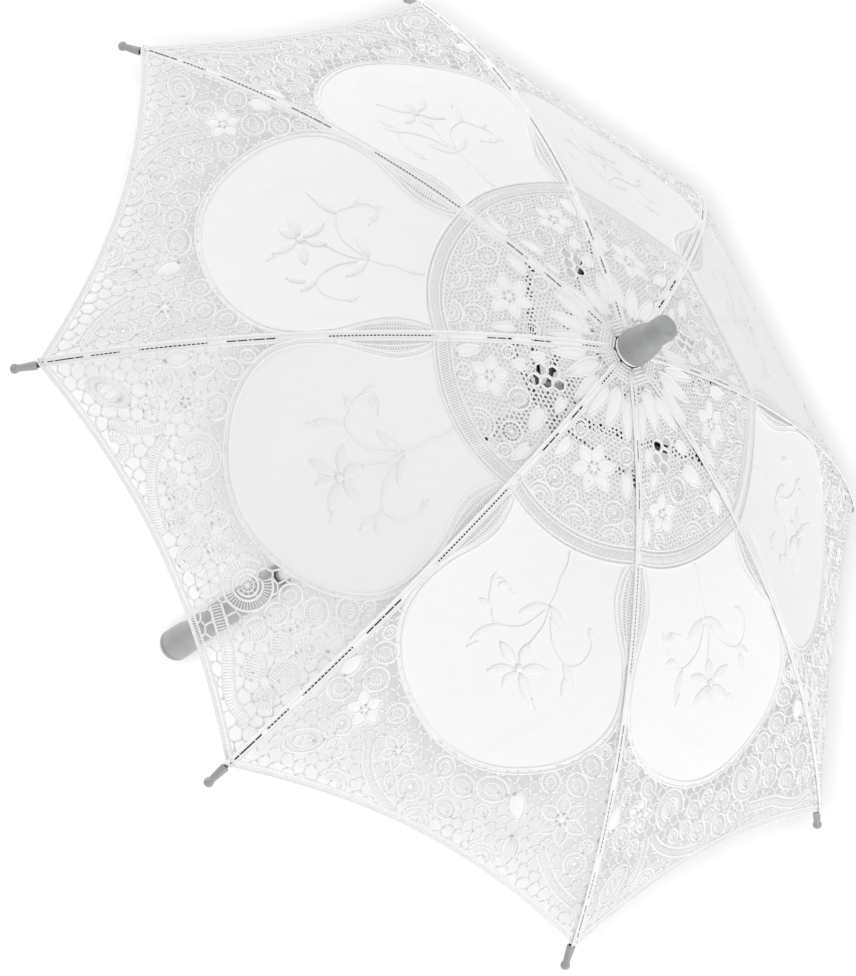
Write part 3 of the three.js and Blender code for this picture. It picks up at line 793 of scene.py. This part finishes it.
def satin_panel():
    """The satin-faced panel, as a thin closed sheet."""
    rows, columns = 72, 40
    t = 0.5 - 0.5 * np.cos(np.pi * np.linspace(0, 1, rows))
    start = PANEL_SIDE[0, 0]
    reach = np.argmax(PANEL_SIDE[:, 0])
    along = start + (PANEL_SIDE[reach, 0] - 0.05 - start) * t
    wide = np.interp(along, PANEL_SIDE[:reach + 1, 0], PANEL_SIDE[:reach + 1, 1])
    across = wide[:, None] * np.linspace(-1, 1, columns)
    bow = ring_along(RING_OUTER - 0.6, across) - start
    flat = np.stack([along[:, None] + bow * (1 - t[:, None]) ** 4, across], -1)
    lift = wrinkles(flat)
    front = cloth(flat, lift + FACE_LIFT)
    back = cloth(flat, lift + BACK_LIFT)
    index = np.arange(rows * columns).reshape(rows, columns)
    quads = np.stack([index[:-1, :-1], index[:-1, 1:], index[1:, 1:], index[1:, :-1]], -1)
    quads = quads.reshape(-1, 4)
    size = rows * columns
    rim = np.concatenate([index[0], index[1:, -1], index[-1, -2::-1], index[-2:0:-1, 0]])
    follow = np.roll(rim, -1)
    edge = np.stack([follow, rim, rim + size, follow + size], -1)
    faces = list(quads[:, ::-1]) + list(quads + size) + list(edge[:, ::-1])
    points = np.concatenate([front.reshape(-1, 3), back.reshape(-1, 3)])
    sewing = Sewing()
    sewing.keep(points, faces, np.concatenate([flat.reshape(-1, 2)] * 2) * MM)
    return sewing


# Soft pulls in the satin as (along, across, angle, length, width, height).
PULLS = [(187, -22, 38, 20, 1.5, 0.55), (192, -12, 48, 17, 1.2, 0.4), (182, -31, 30, 18, 1.4, 0.4),
         (196, -3, 70, 14, 1.4, 0.35), (188, 24, -38, 20, 1.7, 0.35), (150, 42, 15, 18, 2.0, 0.25),
         (120, -24, -12, 16, 2.2, 0.2), (160, -48, 8, 20, 1.8, 0.3), (205, 6, 85, 14, 1.4, 0.25),
         (172, 40, -20, 16, 1.8, 0.25)]


def wrinkles(flat):
    """Height of the satin's soft pulls, in millimetres."""
    along, across = flat[..., 0], flat[..., 1]
    lift = 0.1 * np.sin(along / 9.0 + across / 21.0) * np.cos(across / 13.0)
    for s, a, angle, length, width, height in PULLS:
        local = turn(np.stack([along - s, across - a], -1), -angle)
        lift = lift + height * np.exp(-(local[..., 0] / length) ** 2
                                      - (local[..., 1] / width) ** 2)
    return lift


# ---------------------------------------------------------------- embroidery
# Sprigs as stems through points, and leaves as (along, across, angle, length, width).
STEMS = [[(104, 4), (111, 5.4), (118, 4.6), (125, 5.6), (132, 5)],
         [(132, 5), (140, 6.4), (147, 5.4), (154, 3.6)],
         [(135, 4), (141, 1), (147, -3), (151, -10), (152, -17), (148, -20.5), (142, -25),
          (135, -25), (132.5, -21), (136, -14)],
         [(137, 8), (145, 12.5), (151, 19), (153.5, 26), (149, 31.5), (140, 32.5), (134.5, 28)],
         [(175, 16.5), (179, 20.5)], [(164, -20), (169, -24)]]
LEAVES = [(131.5, 4.4, -54, 16, 5.0), (131.5, 5.6, 52, 15.5, 5.0), (152, -15.5, -30, 16, 4.4),
          (146.5, -20.5, -95, 8, 3.4), (139, -25.5, -170, 8, 3.2), (153.5, 23, 56, 12, 4.4),
          (157, 27, 12, 11, 4.2), (138, 32.5, -140, 8, 3.4), (133, -17.5, -60, 6, 3.6)]
FLOWER_CENTRE = (165.5, 4.0)
FLOWER_EYE = 1.8
FLOWER_PETAL_WIDTH = 5.4
# Each petal is (angle, length).
FLOWER_PETALS = [(-13, 11.5), (49, 16), (112, 14), (181, 12), (240, 15), (303, 15.5)]


def embroidery(gore):
    """A raised flower, stems and leaves in close satin stitch, a little different each time."""
    chance = np.random.default_rng(gore + 40)
    sewing = Sewing()
    for guide in STEMS:
        path = smooth(guide, 1.2)
        sewing.sweep(path, STEM, sides=6, lift=STITCH_LIFT)
    for along, across, angle, length, width in LEAVES:
        base = np.array([along, across]) + chance.uniform(-0.6, 0.6, 2)
        outline = petal_outline(base, angle + chance.uniform(-7, 7), length, width, 0.95, 22)
        sewing.patch(outline, 0.45, STITCH_LIFT, 5)
    centre = np.array(FLOWER_CENTRE)
    for angle, length in FLOWER_PETALS:
        angle += chance.uniform(-5, 5)
        base = centre + turn([[FLOWER_EYE, 0]], angle)[0]
        outline = petal_outline(base, angle, length - 1, FLOWER_PETAL_WIDTH, 1.0, 22)
        sewing.patch(outline, 0.55, STITCH_LIFT, 5)
    sewing.patch(round_outline(centre, FLOWER_EYE, count=14), 0.9, 0.4)
    return sewing


# ---------------------------------------------------------------- materials
class Term:
    """A number socket; arithmetic on terms adds Math nodes."""

    def __init__(self, finish, socket):
        self.finish = finish
        self.socket = socket

    def math(self, operation, first, second):
        node = self.finish.node("ShaderNodeMath", {"operation": operation},
                                {0: first, 1: second})
        return Term(self.finish, node.outputs[0])

    def __add__(self, other):
        return self.math("ADD", self, other)

    def __sub__(self, other):
        return self.math("SUBTRACT", self, other)

    def __rsub__(self, other):
        return self.math("SUBTRACT", other, self)

    def __mul__(self, other):
        return self.math("MULTIPLY", self, other)

    def __gt__(self, other):
        return self.math("GREATER_THAN", self, other)

    def sine(self):
        return self.math("SINE", self, 0.0)

    def clamp(self):
        return self.math("MAXIMUM", self.math("MINIMUM", self, 1.0), 0.0)

    __radd__, __rmul__ = __add__, __mul__


class Finish:
    """One material, with a shader and the nodes that vary it."""

    def __init__(self, name, **constants):
        self.material = bpy.data.materials.new(name)
        self.material.use_nodes = True
        self.tree = self.material.node_tree
        self.shader = self.tree.nodes["Principled BSDF"]
        for socket, value in constants.items():
            self.shader.inputs[socket.replace("_", " ")].default_value = value

    def node(self, kind, settings=None, inputs=None):
        node = self.tree.nodes.new(kind)
        for key, value in (settings or {}).items():
            setattr(node, key, value)
        for key, value in (inputs or {}).items():
            self.put(node.inputs[key], value)
        return node

    def put(self, socket, value):
        if isinstance(value, Term):
            self.tree.links.new(value.socket, socket)
        elif isinstance(value, bpy.types.NodeSocket):
            self.tree.links.new(value, socket)
        else:
            socket.default_value = value

    def grain(self):
        """Distances along and across the weave, in metres."""
        split = self.node("ShaderNodeSeparateXYZ", None,
                          {0: self.node("ShaderNodeUVMap", {"uv_map": "grain"}).outputs[0]})
        return Term(self, split.outputs[0]), Term(self, split.outputs[1])

    def noise(self, size, detail=3.0, stretch=(1, 1, 1)):
        """Noise in object space with cells of about size, in metres."""
        place = self.node("ShaderNodeTexCoord").outputs["Object"]
        scaled = self.node("ShaderNodeVectorMath", {"operation": "MULTIPLY"},
                           {0: place, 1: [each / size for each in stretch]})
        texture = self.node("ShaderNodeTexNoise", None,
                            {"Vector": scaled.outputs[0], "Scale": 1.0, "Detail": detail})
        return Term(self, texture.outputs["Fac"])

    def colours(self, share, first, second):
        mix = self.node("ShaderNodeMix", {"data_type": "RGBA"},
                        {0: share, 6: (*first, 1), 7: (*second, 1)})
        self.put(self.shader.inputs["Base Color"], mix.outputs[2])

    def roughness(self, value):
        self.put(self.shader.inputs["Roughness"], value)

    def metallic(self, value):
        self.put(self.shader.inputs["Metallic"], value)

    def bump(self, relief, depth):
        """Relief from 0 to 1 that stands depth metres high."""
        bump = self.node("ShaderNodeBump", None,
                         {"Strength": 1.0, "Distance": depth, "Height": relief})
        self.put(self.shader.inputs["Normal"], bump.outputs[0])


def per_turn(pitch):
    """What turns metres into a sine's angle, for waves pitch apart."""
    return 2 * math.pi / pitch


def cotton_lace():
    """Matt twisted cotton: the lace threads and tapes."""
    finish = Finish("cotton_lace", Sheen_Weight=0.25, Specular_IOR_Level=0.3)
    along, across = finish.grain()
    twist = (along * per_turn(0.0011) + across * per_turn(0.0009)).sine()
    fuzz = finish.noise(0.0004)
    tone = finish.noise(0.012)
    finish.colours(tone, (0.88, 0.88, 0.875), (0.95, 0.95, 0.95))
    finish.roughness(0.62 + 0.2 * fuzz)
    finish.bump(0.35 * twist + 0.5 * fuzz, 0.00012)
    return finish.material


def satin_cotton():
    """Close woven cotton with a soft face: the panels."""
    finish = Finish("satin_cotton", Sheen_Weight=0.3, Specular_IOR_Level=0.35)
    along, across = finish.grain()
    pitch = per_turn(0.00055)
    weave = (along * pitch).sine() * (across * pitch).sine()
    slub = finish.noise(0.0035, 4.0, (0.25, 1, 1))
    cloud = finish.noise(0.05)
    finish.colours(0.5 * slub + 0.5 * cloud, (0.89, 0.89, 0.89), (0.95, 0.95, 0.95))
    finish.roughness(0.5 + 0.14 * slub)
    finish.bump(0.5 * weave + 0.6 * slub, 0.00008)
    return finish.material


def embroidery_floss():
    """Glossier stranded thread in close parallel stitches."""
    finish = Finish("embroidery_floss", Sheen_Weight=0.2, Specular_IOR_Level=0.5)
    along, across = finish.grain()
    stitch = (along * per_turn(0.0007) + across * per_turn(0.0016)).sine()
    strand = finish.noise(0.0009)
    finish.colours(strand, (0.94, 0.94, 0.94), (0.99, 0.99, 0.99))
    finish.roughness(0.38 + 0.15 * strand)
    finish.bump(0.5 + 0.5 * stitch, 0.00016)
    return finish.material


def moulded_plastic():
    """Mid-grey moulded plastic with a fine texture and rubbed spots."""
    finish = Finish("moulded_plastic", Specular_IOR_Level=0.45)
    fine = finish.noise(0.0006, 5.0)
    cloud = finish.noise(0.008)
    rubbed = finish.noise(0.004, 6.0, (1, 1, 0.4)) > 0.66
    finish.colours((0.7 * cloud + 0.35 * rubbed).clamp(), (0.31, 0.315, 0.32),
                   (0.40, 0.405, 0.41))
    finish.roughness(0.42 + 0.16 * fine - 0.1 * rubbed)
    finish.bump(fine, 0.00006)
    return finish.material


def black_enamel():
    """Thin black enamel on steel wire, worn through in flecks."""
    finish = Finish("black_enamel", Specular_IOR_Level=0.5)
    worn = finish.noise(0.0022, 6.0) > 0.70
    peel = finish.noise(0.0012)
    finish.colours(worn, (0.014, 0.014, 0.015), (0.32, 0.32, 0.33))
    finish.metallic(worn)
    finish.roughness(0.3 + 0.2 * peel)
    finish.bump(peel - 0.4 * worn, 0.00005)
    return finish.material


def drawn_steel():
    """Bright drawn steel with fine lengthwise lines."""
    finish = Finish("drawn_steel", Metallic=1.0)
    lines = finish.noise(0.0005, 3.0, (1, 1, 0.02))
    cloud = finish.noise(0.02)
    finish.colours(cloud, (0.52, 0.53, 0.54), (0.68, 0.68, 0.69))
    finish.roughness(0.22 + 0.2 * lines)
    finish.bump(lines, 0.00003)
    return finish.material


lace_finish = cotton_lace()
satin_finish = satin_cotton()
floss_finish = embroidery_floss()
plastic_finish = moulded_plastic()
enamel_finish = black_enamel()
steel_finish = drawn_steel()


# ---------------------------------------------------------------- placing pieces
def new_object(name, mesh, material):
    mesh.materials.clear()
    mesh.materials.append(material)
    piece = bpy.data.objects.new(name, mesh)
    bpy.context.scene.collection.objects.link(piece)
    return piece


def half_mesh(mesh, name, side):
    """The half of a gore's mesh on one side of its middle plane."""
    across = Vector((-math.sin(GORE_ANGLE / 2), math.cos(GORE_ANGLE / 2), 0)) * side
    work = bmesh.new()
    work.from_mesh(mesh)
    whole = work.verts[:] + work.edges[:] + work.faces[:]
    cut = bmesh.ops.bisect_plane(work, geom=whole, plane_co=(0, 0, 0), plane_no=across,
                                 clear_inner=True)
    rim = [item for item in cut["geom_cut"] if isinstance(item, bmesh.types.BMEdge)]
    for edge in rim:
        edge.smooth = False
    bmesh.ops.holes_fill(work, edges=rim, sides=0)
    half = bpy.data.meshes.new(name)
    work.to_mesh(half)
    work.free()
    return half


# What is left of a half gore's pleat, across itself, when the ribs are closed.
FOLD_KEEP = 0.05
CLOSED_ANGLE = math.radians(65.0)


def pleat(keep):
    """Squash axis and anchor for the half gore beside the rib that points along +X.

    When the rib has turned down, the edge at the gore's middle lies in the middle plane
    again, so that the two halves of a gore stay joined.
    """
    hinge = np.array([HINGE_RADIUS, 0, HINGE_Z]) * MM
    middle = np.array([math.sin(GORE_ANGLE / 2), -math.cos(GORE_ANGLE / 2), 0])
    back = np.array(Matrix.Rotation(-CLOSED_ANGLE, 3, "Y"))
    opened = back @ middle
    likeness = opened @ middle
    half = (1 + keep) * likeness / 2
    part = half - math.sqrt(half ** 2 - keep)
    axis = unit(opened - part * middle)
    reach = (opened - middle) @ hinge / ((1 - keep) * (opened @ axis))
    return axis, axis * reach


def fold_with_ribs(piece, gore, side):
    """Works out the axis and anchor for pleating a half gore, and gives the half gore its own mesh; the half gore
    is not pleated.
    """
    mirror = np.array([1, -side, 1])
    around = np.array(Matrix.Rotation(GORE_ANGLE * (gore - (side < 0)), 3, "Z"))
    axis, anchor = (around @ (each * mirror) for each in pleat(FOLD_KEEP))
    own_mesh(piece)


def place_halves(sewing, name, gore, material):
    """One gore's mesh turned to its place and cut at the gore's middle."""
    whole = sewing.mesh(name)
    pieces = {}
    for side, word in ((-1, "left"), (1, "right")):
        mesh = half_mesh(whole, f"{name}_{word}", side)
        mesh.transform(Matrix.Rotation(GORE_ANGLE * (gore - 1), 4, "Z"))
        piece = new_object(f"{name}_{gore}_{word}", mesh, material)
        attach(piece, f"rib_arm_{gore if side < 0 else gore % RIBS + 1}")
        fold_with_ribs(piece, gore, side)
        pieces[side] = piece
    return pieces


def flat_area(outline):
    x, y = outline[:, 0], outline[:, 1]
    return abs(np.dot(x, np.roll(y, -1)) - np.dot(y, np.roll(x, -1))) / 2 * MM ** 2


def make_gore(gore):
    """Satin panel, lace and embroidery between two ribs."""
    lace = Sewing()
    crown_lace(lace, gore)
    crown_ring(lace)
    rib_eyes(lace)
    outer_lace(lace, gore)
    panel_tapes(lace)
    panels = place_halves(satin_panel(), "satin", gore, satin_finish)
    laces = place_halves(lace, "lace", gore, lace_finish)
    stitches = place_halves(embroidery(gore), "embroidery", gore, floss_finish)
    width = PANEL_SIDE[:, 1].max() * MM
    length = (PANEL_SIDE[:, 0].max() - PANEL_SIDE[0, 0]) * MM
    for side, panel in panels.items():
        min(flat_area(PANEL_EDGE) / 2, width * length)
    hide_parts(f"canopy_panel_{gore}")


def make_rib_seams():
    """The stitched band over each rib."""
    for number in range(1, RIBS + 1):
        sewing = Sewing()
        rib_seam(sewing)
        mesh = sewing.mesh(f"rib_seam_{number}")
        mesh.transform(Matrix.Rotation(GORE_ANGLE * (number - 1), 4, "Z"))
        piece = new_object(f"rib_seam_{number}", mesh, lace_finish)
        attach(piece, f"rib_arm_{number}")


# ---------------------------------------------------------------- hard pieces
def turned(name, profile, material, body, segments=72, sharp=38):
    """A smooth solid of revolution about the shaft, from [radius, height] in millimetres."""
    profile = np.asarray(profile, float) * MM
    work = bmesh.new()
    angles = 2 * math.pi * np.arange(segments) / segments
    rings = []
    for radius, height in profile:
        if radius < 1e-9:
            rings.append([work.verts.new((0, 0, height))])
        else:
            rings.append([work.verts.new((radius * math.cos(a), radius * math.sin(a), height))
                          for a in angles])
    for lower, upper in zip(rings, rings[1:]):
        for step in range(segments):
            follow = (step + 1) % segments
            corners = [lower[step % len(lower)], lower[follow % len(lower)],
                       upper[follow % len(upper)], upper[step % len(upper)]]
            unique = list(dict.fromkeys(corners))
            if len(unique) > 2:
                work.faces.new(unique)
    bmesh.ops.recalc_face_normals(work, faces=work.faces[:])
    mesh = bpy.data.meshes.new(name)
    work.to_mesh(mesh)
    work.free()
    mesh.polygons.foreach_set("use_smooth", np.ones(len(mesh.polygons), bool))
    mesh.set_sharp_from_angle(angle=math.radians(sharp))
    piece = new_object(name, mesh, material)
    if body:
        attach(piece, body)
    return piece


def rounded(points, radius=0.35, steps=3):
    """A profile with its inner corners rounded off."""
    points = np.asarray(points, float)
    line = [points[0]]
    for before, here, after in zip(points, points[1:], points[2:]):
        reach_in, reach_out = before - here, after - here
        size = min(radius, np.linalg.norm(reach_in) * 0.45, np.linalg.norm(reach_out) * 0.45)
        first = here + reach_in / max(np.linalg.norm(reach_in), 1e-9) * size
        last = here + reach_out / max(np.linalg.norm(reach_out), 1e-9) * size
        for t in np.linspace(0, 1, steps + 1):
            line.append((1 - t) ** 2 * first + 2 * t * (1 - t) * here + t ** 2 * last)
    line.append(points[-1])
    return np.array(line)


BORE = 3.8                 # round the shaft
FERRULE_END = 6.35         # radius of the ferrule's narrow end
GRIP_RADIUS, KNOB_RADIUS = 8.0, 9.25
TIP_LENGTH, TIP_RADIUS, TIP_BORE = 12.0, 2.0, 1.3


def make_ferrule():
    """Ridged foot, sloping shoulder and a narrower round end."""
    low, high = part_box("ferrule")
    base, foot = low.z / MM, high.x / MM
    height = (high.z - low.z) / MM
    end = FERRULE_END
    ridges, pitch = 4, 1.5
    points = [(0, 12), (BORE, 12), (BORE, 0), (foot - 0.5, 0)]
    for ridge in range(ridges):
        z = 0.2 + ridge * pitch
        points += [(foot, z + 0.15), (foot, z + pitch - 0.55), (foot - 0.5, z + pitch - 0.3)]
    points += [(foot - 0.25, 6.7), (foot - 0.7, 10), (foot - 1.3, 13.2), (foot - 2.0, 15.0),
               (end - 0.1, 15.9), (end - 0.1, 17), (end, 18), (end, height - 1.6),
               (end - 0.9, height), (end - 2.2, height), (end - 2.5, height - 0.15),
               (0, height - 0.15)]
    profile = rounded([(radius, z + base) for radius, z in points], 0.7, 4)
    ferrule = turned("ferrule_cap", profile, plastic_finish, "stem")
    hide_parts("ferrule")


def make_handle():
    """Long grip, flared to a knob, with a separate end cap."""
    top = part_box("handle_grip")[1].z / MM
    grip, knob = GRIP_RADIUS, KNOB_RADIUS
    points = [(0, 48), (BORE, 48), (BORE, top), (grip - 1.8, top), (grip - 0.5, top - 1.3),
              (grip - 0.2, top - 8), (grip - 0.95, top - 9), (grip - 0.95, top - 10.5),
              (grip - 0.2, top - 11.5), (grip, 60), (grip - 0.25, 26), (grip, 21.5),
              (knob - 0.3, 16.5), (knob, 12), (knob, 4.3), (5, 4.3), (5, 12), (0, 12)]
    grip_piece = turned("handle_sleeve", rounded(points, 0.8, 4), plastic_finish,
                        "stem")
    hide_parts("handle_grip")
    points = [(0, 0.25), (4.6, 0.25), (5.2, 0), (knob - 2.2, 0), (knob - 0.7, 0.7),
              (knob, 2.4), (knob, 4), (4.7, 4), (4.7, 11.5), (0, 11.5)]
    cap = turned("handle_cap", rounded(points, 0.9, 4), plastic_finish,
                 "stem")
    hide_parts("handle_end_cap")


def make_rib_tips():
    """Moulded tips on the ribs, each with a small ball."""
    length, sleeve = TIP_LENGTH, TIP_RADIUS
    points = [(0, 9.3), (TIP_BORE, 9.3), (TIP_BORE, 0), (sleeve - 0.35, 0), (sleeve, 0.4),
              (sleeve * 0.97, 2.4), (sleeve * 0.8, length - 4.2), (sleeve * 0.86, length - 3.8)]
    ball, centre = sleeve * 1.15, length - 2.15
    for angle in np.radians(np.linspace(-38, 90, 12)):
        points.append((ball * math.cos(angle), centre + ball * math.sin(angle) * 0.93))
    along = ARC_LENGTH - length
    radius, height = rib_line(along)
    slope = CHORD_SLOPE + HALF_ARC * (1 - 2 * along / ARC_LENGTH)
    to_rib = (Matrix.Translation((radius * MM, 0, height * MM))
              @ Matrix.Rotation(math.pi / 2 - slope, 4, "Y"))
    for number in range(1, RIBS + 1):
        tip = turned(f"tip_{number}", points, plastic_finish, None, 32)
        around = Matrix.Rotation(GORE_ANGLE * (number - 1), 4, "Z")
        tip.data.transform(around @ to_rib)
        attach(tip, f"rib_arm_{number}")
        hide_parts(f"rib_tip_{number}")


def finish_cad_nodes():
    """Gives every remaining CAD node its material."""
    finishes = {"grey_plastic": plastic_finish, "black_steel": enamel_finish,
                "bright_steel": steel_finish, "white_cloth": satin_finish,
                "lace_cloth": satin_finish}
    slots = {part["node"]: part["material_slot"] for part in frame["record"]["subparts"]}
    for name, node in frame["nodes"].items():
        node.data.materials.clear()
        node.data.materials.append(finishes[slots[name]])


# ---------------------------------------------------------------- camera, floor and light
CAMERA_AZIMUTH = 122.3
CAMERA_ELEVATION = 43.9
CAMERA_ROLL = 57.1
CAMERA_DISTANCE = 1.347
CAMERA_LENS = 101.1
AIM_HEIGHT = 0.2797
AIM_RIGHT = -0.0218
AIM_UP = -0.0175
FLOOR_Z = -0.30
WORLD_LIGHT = 0.865
FLOOR_POWER = 14.0
FLOOR_LAMP_SIZE = 0.085
FLOOR_LAMP_AIM = (0, 0, 0.28)
FLOOR_SIZE = 30.0
KEY_SIZE = 1.4
KEY_DISTANCE = 2.2
KEY_AIM = (0, 0, 0.35)
# The keys stand towards these directions: (name, direction, power).
KEYS = [("key_back", (-0.25, 0.95, 0.25), 17.0), ("key_top", (0.4, -0.9, 0.12), 16.0)]


def make_camera():
    """The camera, rolled so that the parasol leans across the frame."""
    azimuth, elevation = math.radians(CAMERA_AZIMUTH), math.radians(CAMERA_ELEVATION)
    roll = math.radians(CAMERA_ROLL)
    back = Vector((math.sin(azimuth) * math.cos(elevation),
                   -math.cos(azimuth) * math.cos(elevation), math.sin(elevation)))
    level = Vector((0, 0, 1)).cross(back).normalized()
    upright = back.cross(level)
    right = math.cos(roll) * level + math.sin(roll) * upright
    up = math.cos(roll) * upright - math.sin(roll) * level
    aim = Vector((0, 0, AIM_HEIGHT))
    place = aim + back * CAMERA_DISTANCE
    back = (place - aim - right * AIM_RIGHT - up * AIM_UP).normalized()
    right = up.cross(back).normalized()
    up = back.cross(right)
    lens = bpy.data.cameras.new("camera")
    lens.lens = CAMERA_LENS
    lens.clip_end = 50
    camera = bpy.data.objects.new("camera", lens)
    turned_to = Matrix((right, up, back)).transposed().to_4x4()
    camera.matrix_world = Matrix.Translation(place) @ turned_to
    bpy.context.scene.collection.objects.link(camera)
    bpy.context.scene.camera = camera


def make_floor():
    """A pale floor that is clear when seen from below."""
    size = FLOOR_SIZE          # half of the floor's width
    mesh = bpy.data.meshes.new("floor")
    corners = [(-size, -size, FLOOR_Z), (size, -size, FLOOR_Z), (size, size, FLOOR_Z),
               (-size, size, FLOOR_Z)]
    mesh.from_pydata(corners, [], [(0, 1, 2, 3)])
    paper = Finish("pale_floor", Specular_IOR_Level=0.1)
    cloud = paper.noise(0.4)
    paper.colours(cloud, (0.62, 0.62, 0.62), (0.64, 0.64, 0.64))
    paper.roughness(0.85 + 0.1 * cloud)
    clear = paper.node("ShaderNodeBsdfTransparent").outputs[0]
    under = paper.node("ShaderNodeNewGeometry").outputs["Backfacing"]
    mix = paper.node("ShaderNodeMixShader", None, {0: under, 1: paper.shader.outputs[0], 2: clear})
    paper.put(paper.tree.nodes["Material Output"].inputs["Surface"], mix.outputs[0])
    floor = new_object("floor", mesh, paper.material)
    return floor


def add_light(name, place, aim, size, power):
    """A round soft lamp at a place, turned to its aim."""
    lamp = bpy.data.lights.new(name, "AREA")
    lamp.shape = "DISK"
    lamp.size = size
    lamp.energy = power
    light = bpy.data.objects.new(name, lamp)
    light.location = place
    way = Vector(aim) - Vector(place)
    light.rotation_mode = "QUATERNION"
    light.rotation_quaternion = way.to_track_quat("-Z", "Y")
    bpy.context.scene.collection.objects.link(light)
    return light


def make_light(floor):
    """Even studio light, two soft keys for the parasol and a lamp for the floor alone."""
    world = bpy.data.worlds.new("studio")
    bpy.context.scene.world = world
    world.use_nodes = True
    world.node_tree.nodes["Background"].inputs["Color"].default_value = (1, 1, 1, 1)
    world.node_tree.nodes["Background"].inputs["Strength"].default_value = WORLD_LIGHT
    bpy.context.scene.view_settings.view_transform = "Standard"
    for name, way, power in KEYS:
        place = Vector(KEY_AIM) + Vector(way).normalized() * KEY_DISTANCE
        only_floor(add_light(name, place, KEY_AIM, KEY_SIZE, power), floor, "EXCLUDE")
    lamp = add_light("floor_lamp", bpy.context.scene.camera.location, FLOOR_LAMP_AIM,
                     FLOOR_LAMP_SIZE, FLOOR_POWER)
    only_floor(lamp, floor, "INCLUDE")
    keep_strength(lamp.data)


def keep_strength(lamp):
    """Stops a lamp from weakening with distance."""
    lamp.use_nodes = True
    nodes, links = lamp.node_tree.nodes, lamp.node_tree.links
    falloff = nodes.new("ShaderNodeLightFalloff")
    falloff.inputs["Strength"].default_value = 1.0
    links.new(falloff.outputs["Constant"], nodes["Emission"].inputs["Strength"])


def only_floor(lamp, floor, state):
    """Makes a lamp light nothing but the floor, or everything but the floor."""
    receivers = bpy.data.collections.new(f"{lamp.name}_receivers")
    receivers.objects.link(floor)
    receivers.collection_objects[0].light_linking.link_state = state
    lamp.light_linking.receiver_collection = receivers


make_camera()
make_light(make_floor())
finish_cad_nodes()
for number in range(1, RIBS + 1):
    make_gore(number)
make_rib_seams()
make_ferrule()
make_handle()
make_rib_tips()
